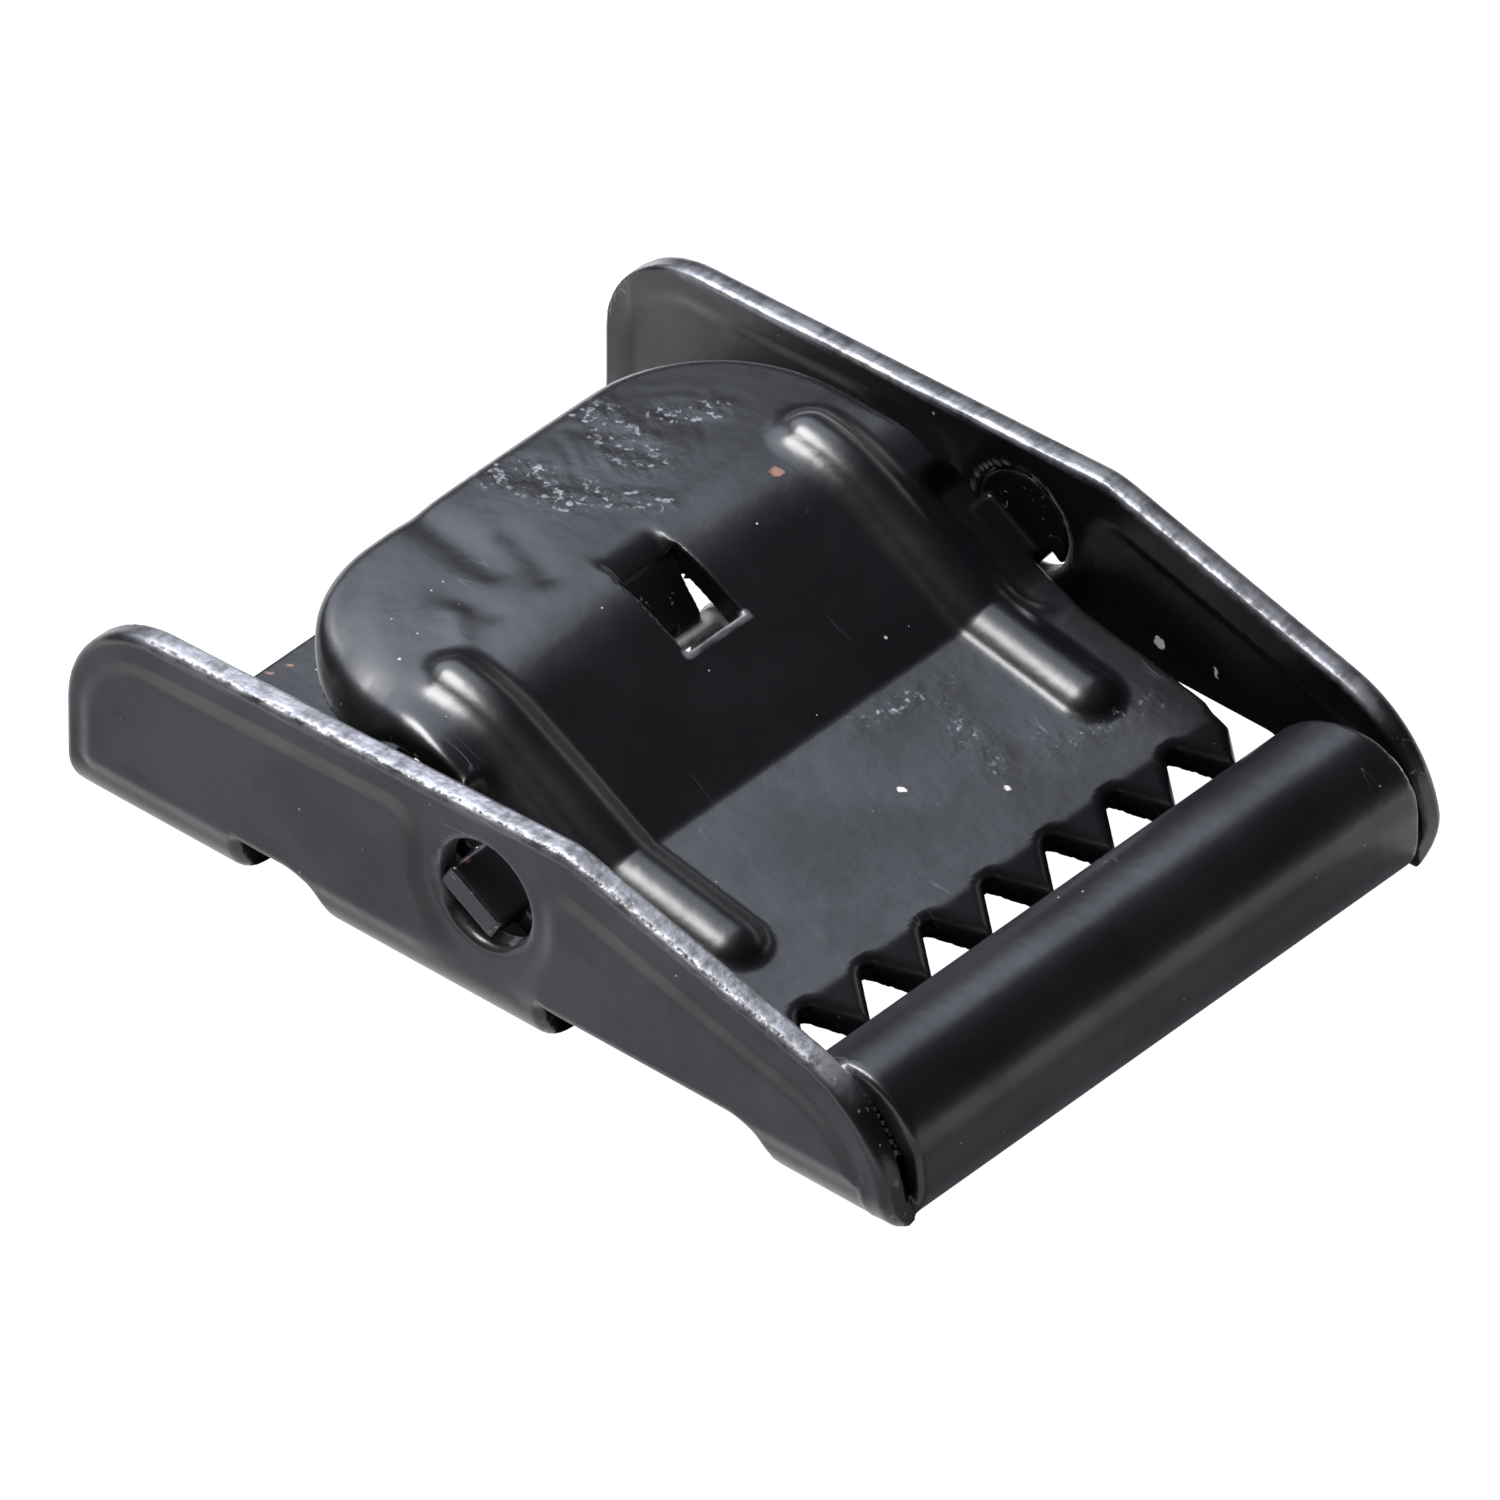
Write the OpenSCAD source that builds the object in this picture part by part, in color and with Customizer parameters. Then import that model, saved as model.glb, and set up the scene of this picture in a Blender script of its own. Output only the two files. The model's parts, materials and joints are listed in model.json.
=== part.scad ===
// Cam buckle: a stamped sheet-steel channel whose front end is curled into a bar, a toothed cam
// lever that pivots between its side walls, and the wire spring under the lever.
// Millimetres. X runs from the rear plate to the curled bar, Y across, Z up from the base.

/* [Channel] */
// Width across the rims of the two side walls
frame_w = 32; // [31:0.5:36]
// Length from the rear edge of the walls to the front of the bar
frame_l = 42.1; // [41.9:0.1:44]
// Thickness of the sheet, in the channel and in the lever
sheet_t = 1.2; // [1:0.05:1.3]
// Height of the wall at its knee
wall_h = 10.1; // [9.8:0.1:10.8]
// How far the pressed panel stands out of the wall
panel_out = 0.3; // [0.1:0.05:0.4]
// Outer radius of the curled bar
curl_r = 3.2; // [3:0.05:3.25]

/* [Pivot] */
// Diameter of the pivot hole in each wall
pivot_d = 4.56; // [4.5:0.02:4.7]
// Height of the hole centre above the base
pivot_z = 6.2; // [6.1:0.05:6.4]

/* [Lever] */
// Width of the lever
lever_w = 27; // [25:0.5:27.5]
// Length of the flat part of the thumb pad
pad_l = 6.7; // [5:0.1:7]
// Radius of the crest between the pad and the slope
crest_r = 8; // [7.5:0.1:8.5]
// Plan radius of the two rear corners of the pad
pad_corner_r = 7; // [3:0.1:8]
// Length of the toothed front plate, up to the tooth roots
plate_l = 9.4; // [9:0.1:9.7]
// Length of the teeth
tooth_l = 1.9; // [1.5:0.1:2]
// Distance from tooth to tooth
tooth_pitch = 3.5; // [3.4:0.05:3.5]
// Height of the two pressed ribs
rib_h = 0.8; // [0.5:0.05:0.9]
// Width of the two pressed ribs
rib_w = 3.4; // [3:0.1:3.6]

/* [Spring] */
// Wire diameter
wire_d = 0.9; // [0.7:0.05:0.95]
// Mean radius of the coils
coil_r = 2.1; // [1.8:0.05:2.15]

/* [Hidden] */
$fn = 96;
big = 60; // reach of shapes that run out of the part
over = 1; // how far a cutting shape runs past the face it cuts
seat = 0.003; // how far corners and round ends sit inside each other where they meet

// channel, seen from the side (x, z)
half_w = frame_w / 2;
inner_w = half_w - sheet_t;
xr = -frame_l / 2;
xf = frame_l / 2;
bar_lead = 0.45; // the bar stands in front of the walls
wall_xf = xf - bar_lead;
base_xr = xr + 1.45; // rear edge of the base strip between the walls
rear_foot_r = 1.1;
bend_in_r = 0.9;
bend_r = sheet_t + bend_in_r;
rear_r = 4.8;
front_r = 6;
knee_x = 4.37;
knee_r = 4;
top_a = 1.9;
slope_a = 15.5;
pivot_x = 0.25;
H = [pivot_x, pivot_z];

function z_top(x) = wall_h + tan(top_a) * (x - knee_x);
function z_slope(x) = wall_h - tan(slope_a) * (x - knee_x);
n_top = [-sin(top_a), cos(top_a)];
n_slope = [sin(slope_a), cos(slope_a)];

rear_c = [xr + rear_r, z_top(xr + rear_r) - rear_r / cos(top_a)];
front_c = [wall_xf - front_r, z_slope(wall_xf - front_r) - front_r / cos(slope_a)];
knee = [knee_x, wall_h];
knee_turn = top_a + slope_a;
knee_lean = (slope_a - top_a) / 2;
knee_cut = knee_r * tan(knee_turn / 2);
knee_c = knee - knee_r / cos(knee_turn / 2) * [sin(knee_lean), cos(knee_lean)];

// pressed panel: margins to the edge of the wall, flat ring round the hole, fillets beside it
margin_rear = 1;
margin_top = 1.3;
margin_slope = 1.65;
margin_front = 1.2;
panel_z = 2.1;
panel_rear_r = 3.6;
panel_front_r = 4.8;
ring_r = 3.25;
fillet_rear = 4;
fillet_front = 5;

panel_rear_x = xr + margin_rear + panel_rear_r;
panel_rear_c = [panel_rear_x,
    z_top(panel_rear_x) - (margin_top + panel_rear_r) / cos(top_a)];
panel_front_x = wall_xf - margin_front - panel_front_r;
panel_front_c = [panel_front_x,
    z_slope(panel_front_x) - (margin_slope + panel_front_r) / cos(slope_a)];
panel_peak_x = knee_x + (margin_top / cos(top_a) - margin_slope / cos(slope_a))
    / (tan(top_a) + tan(slope_a));
panel_peak = [panel_peak_x, z_top(panel_peak_x) - margin_top / cos(top_a)];

rear_v = (z_top(pivot_x) - pivot_z) * cos(top_a) - margin_top - fillet_rear + seat;
rear_u = -sqrt(pow(ring_r + fillet_rear - seat, 2) - rear_v * rear_v);
rear_fillet_c = H + rear_u * [cos(top_a), sin(top_a)] + rear_v * n_top;
front_v = (z_slope(pivot_x) - pivot_z) * cos(slope_a) - margin_slope - fillet_front + seat;
front_u = sqrt(pow(ring_r + fillet_front - seat, 2) - front_v * front_v);
front_fillet_c = H + front_u * [cos(slope_a), -sin(slope_a)] + front_v * n_slope;

// windows in the base, and the curled bar
edge_z = 2.3;
window_r = 1.8;
window_1 = [-12.3, -8.1];
window_2 = [3.1, 14.3];
slit_lip = 0.45; // sheet left on the inside of each wall beside the bar
slit_gap = 0.3; // slit between that lip and the end of the bar
slit_w = 2 * (inner_w - slit_lip);
bar_w = slit_w - 2 * slit_gap;
slit_x = xf - bend_r - 0.7; // rear end of the two slits
curl_z = 3.3;
curl_end = 212;
bar_taper = [0.9, 1.5]; // how far the ends of the curl draw in, at two distances from its front
bar_taper_x = [3.8, 6.8];
bar_taper_z = sheet_t + 0.3;

// lever: its top surface as a path of straights [length] and bends [turn, radius]
pad_z = 10.2;
mid_a = 31;
plate_a = 11.3;
tooth_a = 24;
crest_x = -7.63;
crease_r = 1.2;
tip_r = 1.5;
mid_l = 6.72;
tip_lead = 0.5; // the teeth turn down this far before their roots
tooth_run = tooth_l + 0.12; // straight length of a tooth after that bend
pad_start = [crest_x - pad_l, pad_z, 0];
LEVER = [[pad_l], [-mid_a, crest_r], [mid_l], [mid_a - plate_a, crease_r],
    [plate_l - tip_lead], [plate_a - tooth_a, tip_r], [tooth_run]];

rib_y = 10.15;
rib_r = (rib_h * rib_h + rib_w * rib_w / 4) / (2 * rib_h);
rib_depth = rib_r - rib_h;
groove_r = rib_r - sheet_t;
ball_step = 0.03;
rib_start_x = -6.3;
rib_plate_l = 5.1;

root_r = 0.45;
root_x = 0.1; // the notches end this far past the bend of the teeth
notch_half = 35;
notch_lean = 18;
tooth_count = 8;

lance_x = -5.53;
lance_w = 3;
lance_l = 3.7;
tongue_w = 2.8;
tongue_inset = 0.1; // the tongue lies this far inside the faces of the sheet
tongue_t = sheet_t - tongue_inset;
tongue_turn = 50;
tongue_bend_r = sheet_t + 0.1;
tongue_l = 1.2;
tongue_in = 0.5; // how far it reaches back into the sheet
tongue_lead = 0.15;

tab_l = 2.8;
ear_l = 5.2; // length of the ear that carries the tab, stepped down from the sheet
ear_in = 1.5; // its step starts this far inside the edge of the lever
ear_step = 1; // width of the step
ear_y = inner_w - 0.3; // its end, close to the wall
tab_reach = pivot_d / 2 - 0.08;
tab_u = -0.2;
tab_v = sheet_t / 2 - sqrt(pow(tab_reach, 2) - pow(tab_l / 2 - tab_u, 2));
tab_c = H + tab_u * [cos(mid_a), -sin(mid_a)] + tab_v * [sin(mid_a), cos(mid_a)];
tab_end = half_w - 0.05;
ear_relief = 0.05; // gap between the ear and the sheet beside it
ear_root = 0.8; // how far its root reaches into the sheet

// spring: two coils, a bridge under the tongue and two legs on the middle of the base
coil_c = [-3.93, sheet_t + 0.1 + wire_d / 2 + coil_r];
bridge = [-4.48, 6.95];
coil_y = [2.9, 6.2];
coil_turns = 3;
leg_end_x = -7.73;
bridge_bend = 0.9;
coil_steps = 16;
wire_sides = 8;

// ring sector between two radii, from angle a0 to a1
module sector(r_in, r_out, a0, a1) {
    k = r_out * 1.4;
    d = (a1 - a0) / 3;
    intersection() {
        difference() {
            circle(r = r_out);
            if (r_in > 0) circle(r = r_in);
        }
        polygon([[0, 0], for (i = [0:3]) k * [cos(a0 + i * d), sin(a0 + i * d)]]);
    }
}

// side shape (x, z) drawn out across the part between y0 and y1
module across(y0, y1) {
    translate([0, y1, 0]) rotate([90, 0, 0]) linear_extrude(height = y1 - y0) children();
}

// cross-section (y, z) drawn out along X
module along(x0, x1) {
    translate([x0, 0, 0]) rotate([90, 0, 90]) linear_extrude(height = x1 - x0) children();
}

module channel_half_section(w, floor_z, r) {
    translate([-w, floor_z + r]) square([2 * w, wall_h + 2]);
    translate([-w + r, floor_z]) square([2 * (w - r), r + 1]);
    for (s = [-1, 1]) translate([s * (w - r), floor_z + r]) circle(r = r);
}

module channel_section() {
    difference() {
        channel_half_section(half_w, 0, bend_r);
        channel_half_section(inner_w, sheet_t, bend_r - sheet_t);
    }
}

module wall_outline() {
    intersection() {
        union() {
            polygon([[xr + rear_foot_r, 0], [xr, rear_foot_r], [xr, rear_c[1]],
                rear_c + (rear_r - seat) * n_top,
                knee - knee_cut * [cos(top_a), sin(top_a)] - seat * n_top,
                knee + knee_cut * [cos(slope_a), -sin(slope_a)] - seat * n_slope,
                front_c + (front_r - seat) * n_slope, [wall_xf, front_c[1]], [wall_xf, 0]]);
            translate([xr + rear_foot_r, rear_foot_r]) circle(r = rear_foot_r);
            translate(rear_c) circle(r = rear_r);
            translate(knee_c) circle(r = knee_r);
            translate(front_c) circle(r = front_r);
        }
        translate([-big / 2, 0]) square([big, big]);
    }
}

// outline of the area above the hole that stays at rim level
module panel_dip() {
    translate(H) circle(r = ring_r);
    difference() {
        polygon([rear_fillet_c + fillet_rear * n_top,
            H + ring_r / (ring_r + fillet_rear) * (rear_fillet_c - H), H,
            H + ring_r / (ring_r + fillet_front) * (front_fillet_c - H),
            front_fillet_c + fillet_front * n_slope,
            [front_fillet_c[0], wall_h + over], [rear_fillet_c[0], wall_h + over]]);
        translate(rear_fillet_c) circle(r = fillet_rear);
        translate(front_fillet_c) circle(r = fillet_front);
    }
}

module panel_outline() {
    intersection() {
        difference() {
            union() {
                polygon([[xr + margin_rear, 0], [xr + margin_rear, panel_rear_c[1]],
                    panel_rear_c + (panel_rear_r - seat) * n_top, panel_peak,
                    panel_front_c + (panel_front_r - seat) * n_slope,
                    [wall_xf - margin_front, panel_front_c[1]],
                    [wall_xf - margin_front, 0]]);
                translate(panel_rear_c) circle(r = panel_rear_r);
                translate(panel_front_c) circle(r = panel_front_r);
            }
            panel_dip();
        }
        translate([-big / 2, panel_z]) square([big, big]);
    }
}

// window seen from the side: front corner rounded, rear corner square
module window_cut(x0, x1) {
    translate([x0, -over]) square([x1 - x0 - window_r, edge_z + over]);
    translate([x0, -over]) square([x1 - x0, edge_z + over - window_r]);
    translate([x1 - window_r, edge_z - window_r]) circle(r = window_r);
}

module bar_section() {
    translate([window_2[1], 0]) square([xf - bend_r - window_2[1], sheet_t]);
    translate([xf - bend_r, bend_r]) sector(bend_r - sheet_t, bend_r, -90, 0);
    translate([xf - sheet_t, bend_r]) square([sheet_t, curl_z - bend_r]);
    translate([xf - curl_r, curl_z]) sector(curl_r - sheet_t, curl_r, 0, curl_end);
}

module bar() {
    rear_x = xf - bar_taper_x[1] - over;
    front_x = xf + 0.1;
    difference() {
        across(-bar_w / 2, bar_w / 2) bar_section();
        for (s = [0, 1]) mirror([0, s, 0])
            translate([0, 0, bar_taper_z]) linear_extrude(height = wall_h)
                polygon([[front_x, bar_w / 2],
                    [xf - bar_taper_x[0], bar_w / 2 - bar_taper[0]],
                    [xf - bar_taper_x[1], bar_w / 2 - bar_taper[1]],
                    [rear_x, bar_w / 2 - bar_taper[1]], [rear_x, half_w], [front_x, half_w]]);
    }
}

module frame() {
    difference() {
        union() {
            intersection() {
                along(xr - over, xf + over) channel_section();
                across(-half_w - over, half_w + over) wall_outline();
            }
            for (s = [0, 1]) mirror([0, s, 0])
                across(half_w - sheet_t / 2, half_w + panel_out) panel_outline();
        }
        for (s = [0, 1]) mirror([0, s, 0])
            across(inner_w - over, inner_w + panel_out) panel_outline();
        translate([pivot_x, 0, pivot_z]) rotate([90, 0, 0])
            cylinder(d = pivot_d, h = frame_w + 2 * over, center = true);
        across(-half_w - over, half_w + over) window_cut(window_1[0], window_1[1]);
        across(-half_w - over, half_w + over) window_cut(window_2[0], window_2[1]);
        translate([slit_x, -slit_w / 2, -over]) cube([big, slit_w, big]);
        translate([base_xr - big, -inner_w, -over]) cube([big, 2 * inner_w, big]);
    }
    bar();
}

// path along the lever: pose = [x, z, heading]
function side(s) = s[0] > 0 ? 1 : -1;
function centre(p, s) = [p[0] - side(s) * s[1] * sin(p[2]), p[1] + side(s) * s[1] * cos(p[2])];
function after(p, s) = len(s) == 1
    ? [p[0] + s[0] * cos(p[2]), p[1] + s[0] * sin(p[2]), p[2]]
    : [centre(p, s)[0] + side(s) * s[1] * sin(p[2] + s[0]),
        centre(p, s)[1] - side(s) * s[1] * cos(p[2] + s[0]), p[2] + s[0]];
function pose(path, p, i) = i == 0 ? p : after(pose(path, p, i - 1), path[i - 1]);
function on_crest(x) = let (a = asin((x - crest_x) / crest_r))
    [x, pad_z - crest_r * (1 - cos(a)), -a];

// everything below a path, lowered by a depth and run past both ends, as a side shape (x, z)
module under(path, start, depth, past) {
    n = len(path);
    points = [for (i = [0:n]) let (p = pose(path, start, i),
        e = i == 0 ? -past : i == n ? past : 0)
        [p[0] + depth * sin(p[2]) + e * cos(p[2]), p[1] - depth * cos(p[2]) + e * sin(p[2])]];
    difference() {
        union() {
            polygon(concat([[points[0][0], -big]], points, [[points[n][0], -big]]));
            for (i = [0:n - 1]) if (path[i][0] < 0)
                translate(centre(pose(path, start, i), path[i])) circle(r = path[i][1] - depth);
        }
        for (i = [0:n - 1]) if (path[i][0] > 0 && len(path[i]) == 2)
            translate(centre(pose(path, start, i), path[i])) circle(r = path[i][1] + depth);
    }
}

// round bar from point a to point b in the side plane, with a ball at its far end
module rod(a, b, r) {
    d = b - a;
    translate([a[0], a[1], 0]) rotate([0, 0, atan2(d[1], d[0])]) rotate([0, 90, 0])
        cylinder(r = r, h = norm(d));
    translate([b[0], b[1], 0]) sphere(r = r + ball_step);
}

function below(p, depth) = [p[0] + depth * sin(p[2]), p[1] - depth * cos(p[2])];

// round bar that follows the crest, the slope and the front plate at a depth under the surface
module rib_run(depth, r) {
    start = on_crest(rib_start_x);
    slope = pose(LEVER, pad_start, 2);
    plate = pose(LEVER, pad_start, 4);
    back = (crease_r + depth) * tan((mid_a - plate_a) / 2);
    points = [below(start, depth), below(slope, depth),
        below(after(plate, [-back]), depth), below(after(plate, [rib_plate_l]), depth)];
    for (y = [-1, 1]) translate([0, y * rib_y, 0]) rotate([90, 0, 0]) {
        translate([points[0][0], points[0][1], 0]) sphere(r = r + ball_step);
        for (i = [0:2]) rod(points[i], points[i + 1], r);
    }
}

module lever_outline() {
    x0 = crest_x - pad_l;
    translate([x0 + pad_corner_r, -lever_w / 2]) square([big, lever_w]);
    translate([x0, -lever_w / 2 + pad_corner_r]) square([big, lever_w - 2 * pad_corner_r]);
    for (s = [-1, 1]) translate([x0 + pad_corner_r, s * (lever_w / 2 - pad_corner_r)])
        circle(r = pad_corner_r);
}

module notch() {
    tx = root_r * (1 - sin(notch_half));
    ty = root_r * cos(notch_half);
    far = tooth_run + 2 * over;
    translate([root_r, 0]) circle(r = root_r);
    polygon([[tx, -ty], [far, -ty - (far - tx) * tan(notch_half)],
        [far, ty + (far - tx) * tan(notch_half)], [tx, ty]]);
}

module notches() {
    p = pose(LEVER, pad_start, 5);
    translate([p[0], 0, p[1]]) rotate([0, notch_lean, 0])
        for (k = [-tooth_count / 2:tooth_count / 2])
            translate([root_x, k * tooth_pitch, 0])
                linear_extrude(height = 6 * sheet_t, center = true) notch();
}

// strip bent down from the rear edge of the lance hole, drawn in the frame of that edge
module tongue() {
    p = on_crest(lance_x);
    c = [tongue_lead, -tongue_inset - tongue_bend_r];
    r_in = tongue_bend_r - tongue_t;
    n = 5;
    out = [for (i = [0:n]) let (a = 90 - tongue_turn * i / n)
        c + tongue_bend_r * [cos(a), sin(a)]];
    back = [for (i = [n:-1:0]) let (a = 90 - tongue_turn * i / n) c + r_in * [cos(a), sin(a)]];
    tip = tongue_l * [cos(tongue_turn), -sin(tongue_turn)];
    across(-tongue_w / 2, tongue_w / 2) translate([p[0], p[1]]) rotate(p[2])
        polygon(concat([[-tongue_in, -tongue_inset]], out, [out[n] + tip, back[0] + tip],
            back, [[-tongue_in, back[n][1]]]));
}

module lance_hole() {
    p = on_crest(lance_x);
    across(-lance_w / 2, lance_w / 2) translate([p[0], p[1]]) rotate(p[2])
        translate([0, -2 * sheet_t]) square([lance_l, 3 * sheet_t]);
}

// place in the plane of the middle slope, at the centre of the pivot tab
module at_tab() {
    translate([tab_c[0], 0, tab_c[1]]) rotate([0, mid_a, 0]) children();
}

// ears stepped down from the edge of the sheet, drawn as a cross-section (y, normal), and their tabs
module tabs() {
    slope = pose(LEVER, pad_start, 2);
    zt = (slope[0] - tab_c[0]) * sin(mid_a) + (slope[1] - tab_c[1]) * cos(mid_a);
    h = sheet_t / 2;
    y1 = lever_w / 2 - ear_in;
    y2 = y1 + ear_step;
    shift = 0.4; // the lower face steps down this far before the upper one
    at_tab() for (s = [0, 1]) mirror([0, s, 0]) {
        along(-ear_l / 2, ear_l / 2)
            polygon([[y1 - ear_root, zt - ear_relief], [y1 + ear_relief, zt - ear_relief],
                [y2, h], [ear_y, h], [ear_y, -h], [y2 - shift, -h],
                [y1 - shift, zt - sheet_t], [y1 - ear_root, zt - sheet_t + shift / 2]]);
        along(-tab_l / 2, tab_l / 2)
            translate([y2, -h]) square([tab_end - y2, sheet_t]);
    }
}

module sheet() {
    difference() {
        across(-lever_w / 2, lever_w / 2) difference() {
            under(LEVER, pad_start, 0, 0);
            under(LEVER, pad_start, sheet_t, over);
        }
        lance_hole();
        at_tab() for (s = [0, 1]) mirror([0, s, 0])
            translate([-ear_l / 2 - ear_relief, lever_w / 2 - ear_in, -over])
                cube([ear_l + 2 * ear_relief, ear_in + over, 3 * sheet_t]);
    }
}

module ribs() {
    difference() {
        rib_run(rib_depth, rib_r);
        across(-lever_w / 2, lever_w / 2) under(LEVER, pad_start, sheet_t / 2, over);
    }
}

module lever() {
    difference() {
        union() {
            intersection() {
                sheet();
                linear_extrude(height = big) lever_outline();
            }
            ribs();
            tabs();
            tongue();
        }
        rib_run(rib_depth, groove_r);
        notches();
    }
}

// spring wire: list of [point, direction, normal] from the outer leg to the bridge
function unit(v) = v / norm(v);
bridge_v = bridge - coil_c;
exit_a = atan2(bridge_v[1], bridge_v[0]) - acos(coil_r / norm(bridge_v));
exit_p = coil_c + coil_r * [cos(exit_a), sin(exit_a)];
exit_l = norm(bridge - exit_p);
exit_d = [-sin(exit_a), 0, cos(exit_a)];
exit_n = [-cos(exit_a), 0, -sin(exit_a)];
coil_sweep = 360 * coil_turns + 90 + exit_a;
coil_n = floor(coil_sweep / 360 * coil_steps);
coil_rise = (coil_y[0] - coil_y[1]) / coil_sweep * 180 / PI / coil_r;

function leg_point(x) = [[x, coil_y[1], coil_c[1] - coil_r], [1, 0, 0], [0, 0, 1]];
function coil_point(i) = let (f = i / coil_n, a = -90 + coil_sweep * f)
    [[coil_c[0] + coil_r * cos(a), coil_y[1] + (coil_y[0] - coil_y[1]) * f,
        coil_c[1] + coil_r * sin(a)],
        unit([-sin(a), coil_rise, cos(a)]), [-cos(a), 0, -sin(a)]];
function bend_point(a) = let (q = exit_l - bridge_bend + bridge_bend * sin(a),
    y = coil_y[0] - bridge_bend * (1 - cos(a)))
    [[exit_p[0] + exit_d[0] * q, y, exit_p[1] + exit_d[2] * q],
        exit_d * cos(a) + [0, -sin(a), 0], exit_n];
WIRE_HALF = [leg_point(leg_end_x), for (i = [0:coil_n]) coil_point(i),
    for (a = [0:22.5:90]) bend_point(a)];
function mirrored(w) = [[w[0][0], -w[0][1], w[0][2]], [-w[1][0], w[1][1], -w[1][2]], w[2]];
HALF_N = len(WIRE_HALF);
WIRE = [for (w = WIRE_HALF) w, for (i = [1:HALF_N]) mirrored(WIRE_HALF[HALF_N - i])];

module torsion_spring() {
    m = wire_sides;
    n = len(WIRE);
    points = [for (w = WIRE) for (k = [0:m - 1]) let (a = 360 * k / m)
        w[0] + wire_d / 2 * (cos(a) * w[2] + sin(a) * cross(w[1], w[2]))];
    faces = [
        [for (k = [0:m - 1]) k],
        for (i = [0:n - 2]) for (k = [0:m - 1])
            [i * m + k, (i + 1) * m + k, (i + 1) * m + (k + 1) % m, i * m + (k + 1) % m],
        [for (k = [0:m - 1]) n * m - 1 - k]
    ];
    polyhedron(points = points, faces = faces, convexity = 8);
}

color([0.10, 0.10, 0.11]) frame();
color([0.13, 0.13, 0.14]) lever();
color([0.6, 0.6, 0.62]) torsion_spring();
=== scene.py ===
# Cam buckle: a stamped steel channel whose front end is curled into a bar, a toothed cam lever
# and a wire spring. The geometry code works in millimetres in the part's own frame: X from the
# rear edge to the bar, Y across the walls, Z up. MM turns them into metres for each mesh.
import json
import math

import bpy
import numpy as np
from mathutils import Matrix, Vector


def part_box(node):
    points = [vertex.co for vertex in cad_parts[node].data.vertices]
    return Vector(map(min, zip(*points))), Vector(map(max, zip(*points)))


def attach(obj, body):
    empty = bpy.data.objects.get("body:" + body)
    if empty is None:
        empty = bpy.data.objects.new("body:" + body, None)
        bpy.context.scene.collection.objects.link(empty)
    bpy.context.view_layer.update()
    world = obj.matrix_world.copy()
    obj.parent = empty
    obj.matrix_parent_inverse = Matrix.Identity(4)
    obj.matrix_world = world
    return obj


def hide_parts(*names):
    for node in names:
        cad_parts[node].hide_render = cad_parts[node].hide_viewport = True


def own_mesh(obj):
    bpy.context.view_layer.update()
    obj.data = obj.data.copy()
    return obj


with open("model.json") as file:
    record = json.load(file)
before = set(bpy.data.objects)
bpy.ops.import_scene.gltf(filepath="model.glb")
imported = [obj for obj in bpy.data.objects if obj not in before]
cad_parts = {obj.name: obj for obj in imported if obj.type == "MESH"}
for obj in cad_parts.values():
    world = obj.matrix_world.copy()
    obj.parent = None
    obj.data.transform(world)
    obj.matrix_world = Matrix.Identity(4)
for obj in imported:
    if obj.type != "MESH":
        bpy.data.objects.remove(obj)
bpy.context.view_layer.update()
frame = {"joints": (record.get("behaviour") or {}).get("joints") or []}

MM = 0.001
FAR = 1e9  # more than any distance measured here


# Driving dimensions, taken from the frame where it has them

def box_mm(node):
    """Lowest and highest corner of a solid, in millimetres."""
    low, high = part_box(node)
    return np.array(low) / MM, np.array(high) / MM


SHEET = 1.2
PANEL_OUT = 0.3  # how far the walls' panels stand out in the solids
PRESS = 0.17  # how far they stand out here, with a soft step
frame_low, frame_high = box_mm("frame")
lever_low, lever_high = box_mm("lever")
PIVOT = np.array(frame["joints"][0]["pos_m"])[[0, 2]] / MM
HALF_W = frame_high[1] - PANEL_OUT
INNER_W = HALF_W - SHEET
REAR_X, FRONT_X = frame_low[0], frame_high[0]
LEVER_HALF_W = 13.5


# Signed distances, in millimetres: negative inside the metal

def smooth(start, end, value):
    """Soft step from 0 at start to 1 at end, which may be the lower of the two."""
    t = np.clip((value - start) / (end - start), 0, 1)
    return t * t * (3 - 2 * t)


def blunt(a, b, radius):
    """What lies inside both a and b, with the edge where they meet rounded to a radius."""
    reach = np.hypot(np.maximum(a + radius, 0), np.maximum(b + radius, 0))
    return np.minimum(np.maximum(a, b), -radius) + reach


def rectangle(u, v, low, high, radius=0.0):
    """Distance to a rectangle with rounded corners."""
    du = np.abs(u - (low[0] + high[0]) / 2) - (high[0] - low[0]) / 2 + radius
    dv = np.abs(v - (low[1] + high[1]) / 2) - (high[1] - low[1]) / 2 + radius
    outside = np.hypot(np.maximum(du, 0), np.maximum(dv, 0))
    return np.minimum(np.maximum(du, dv), 0) + outside - radius


def line_distance(u, v, a, b):
    """Distance to the straight line between points a and b."""
    d = np.subtract(b, a)
    t = np.clip(((u - a[0]) * d[0] + (v - a[1]) * d[1]) / (d @ d), 0, 1)
    return np.hypot(u - a[0] - t * d[0], v - a[1] - t * d[1])


def arc_distance(u, v, centre, radius, start, sweep):
    """Distance to an arc that starts at an angle and turns by sweep, in degrees."""
    du, dv = u - centre[0], v - centre[1]
    angle = np.mod(np.degrees(np.arctan2(dv, du)) - start, 360)
    ends = [np.hypot(du - radius * math.cos(a), dv - radius * math.sin(a))
            for a in (math.radians(start), math.radians(start + sweep))]
    return np.where(angle <= sweep, np.abs(np.hypot(du, dv) - radius), np.minimum(*ends))


ARC_STEP = 3  # degrees between the points of a rounded corner


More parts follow.
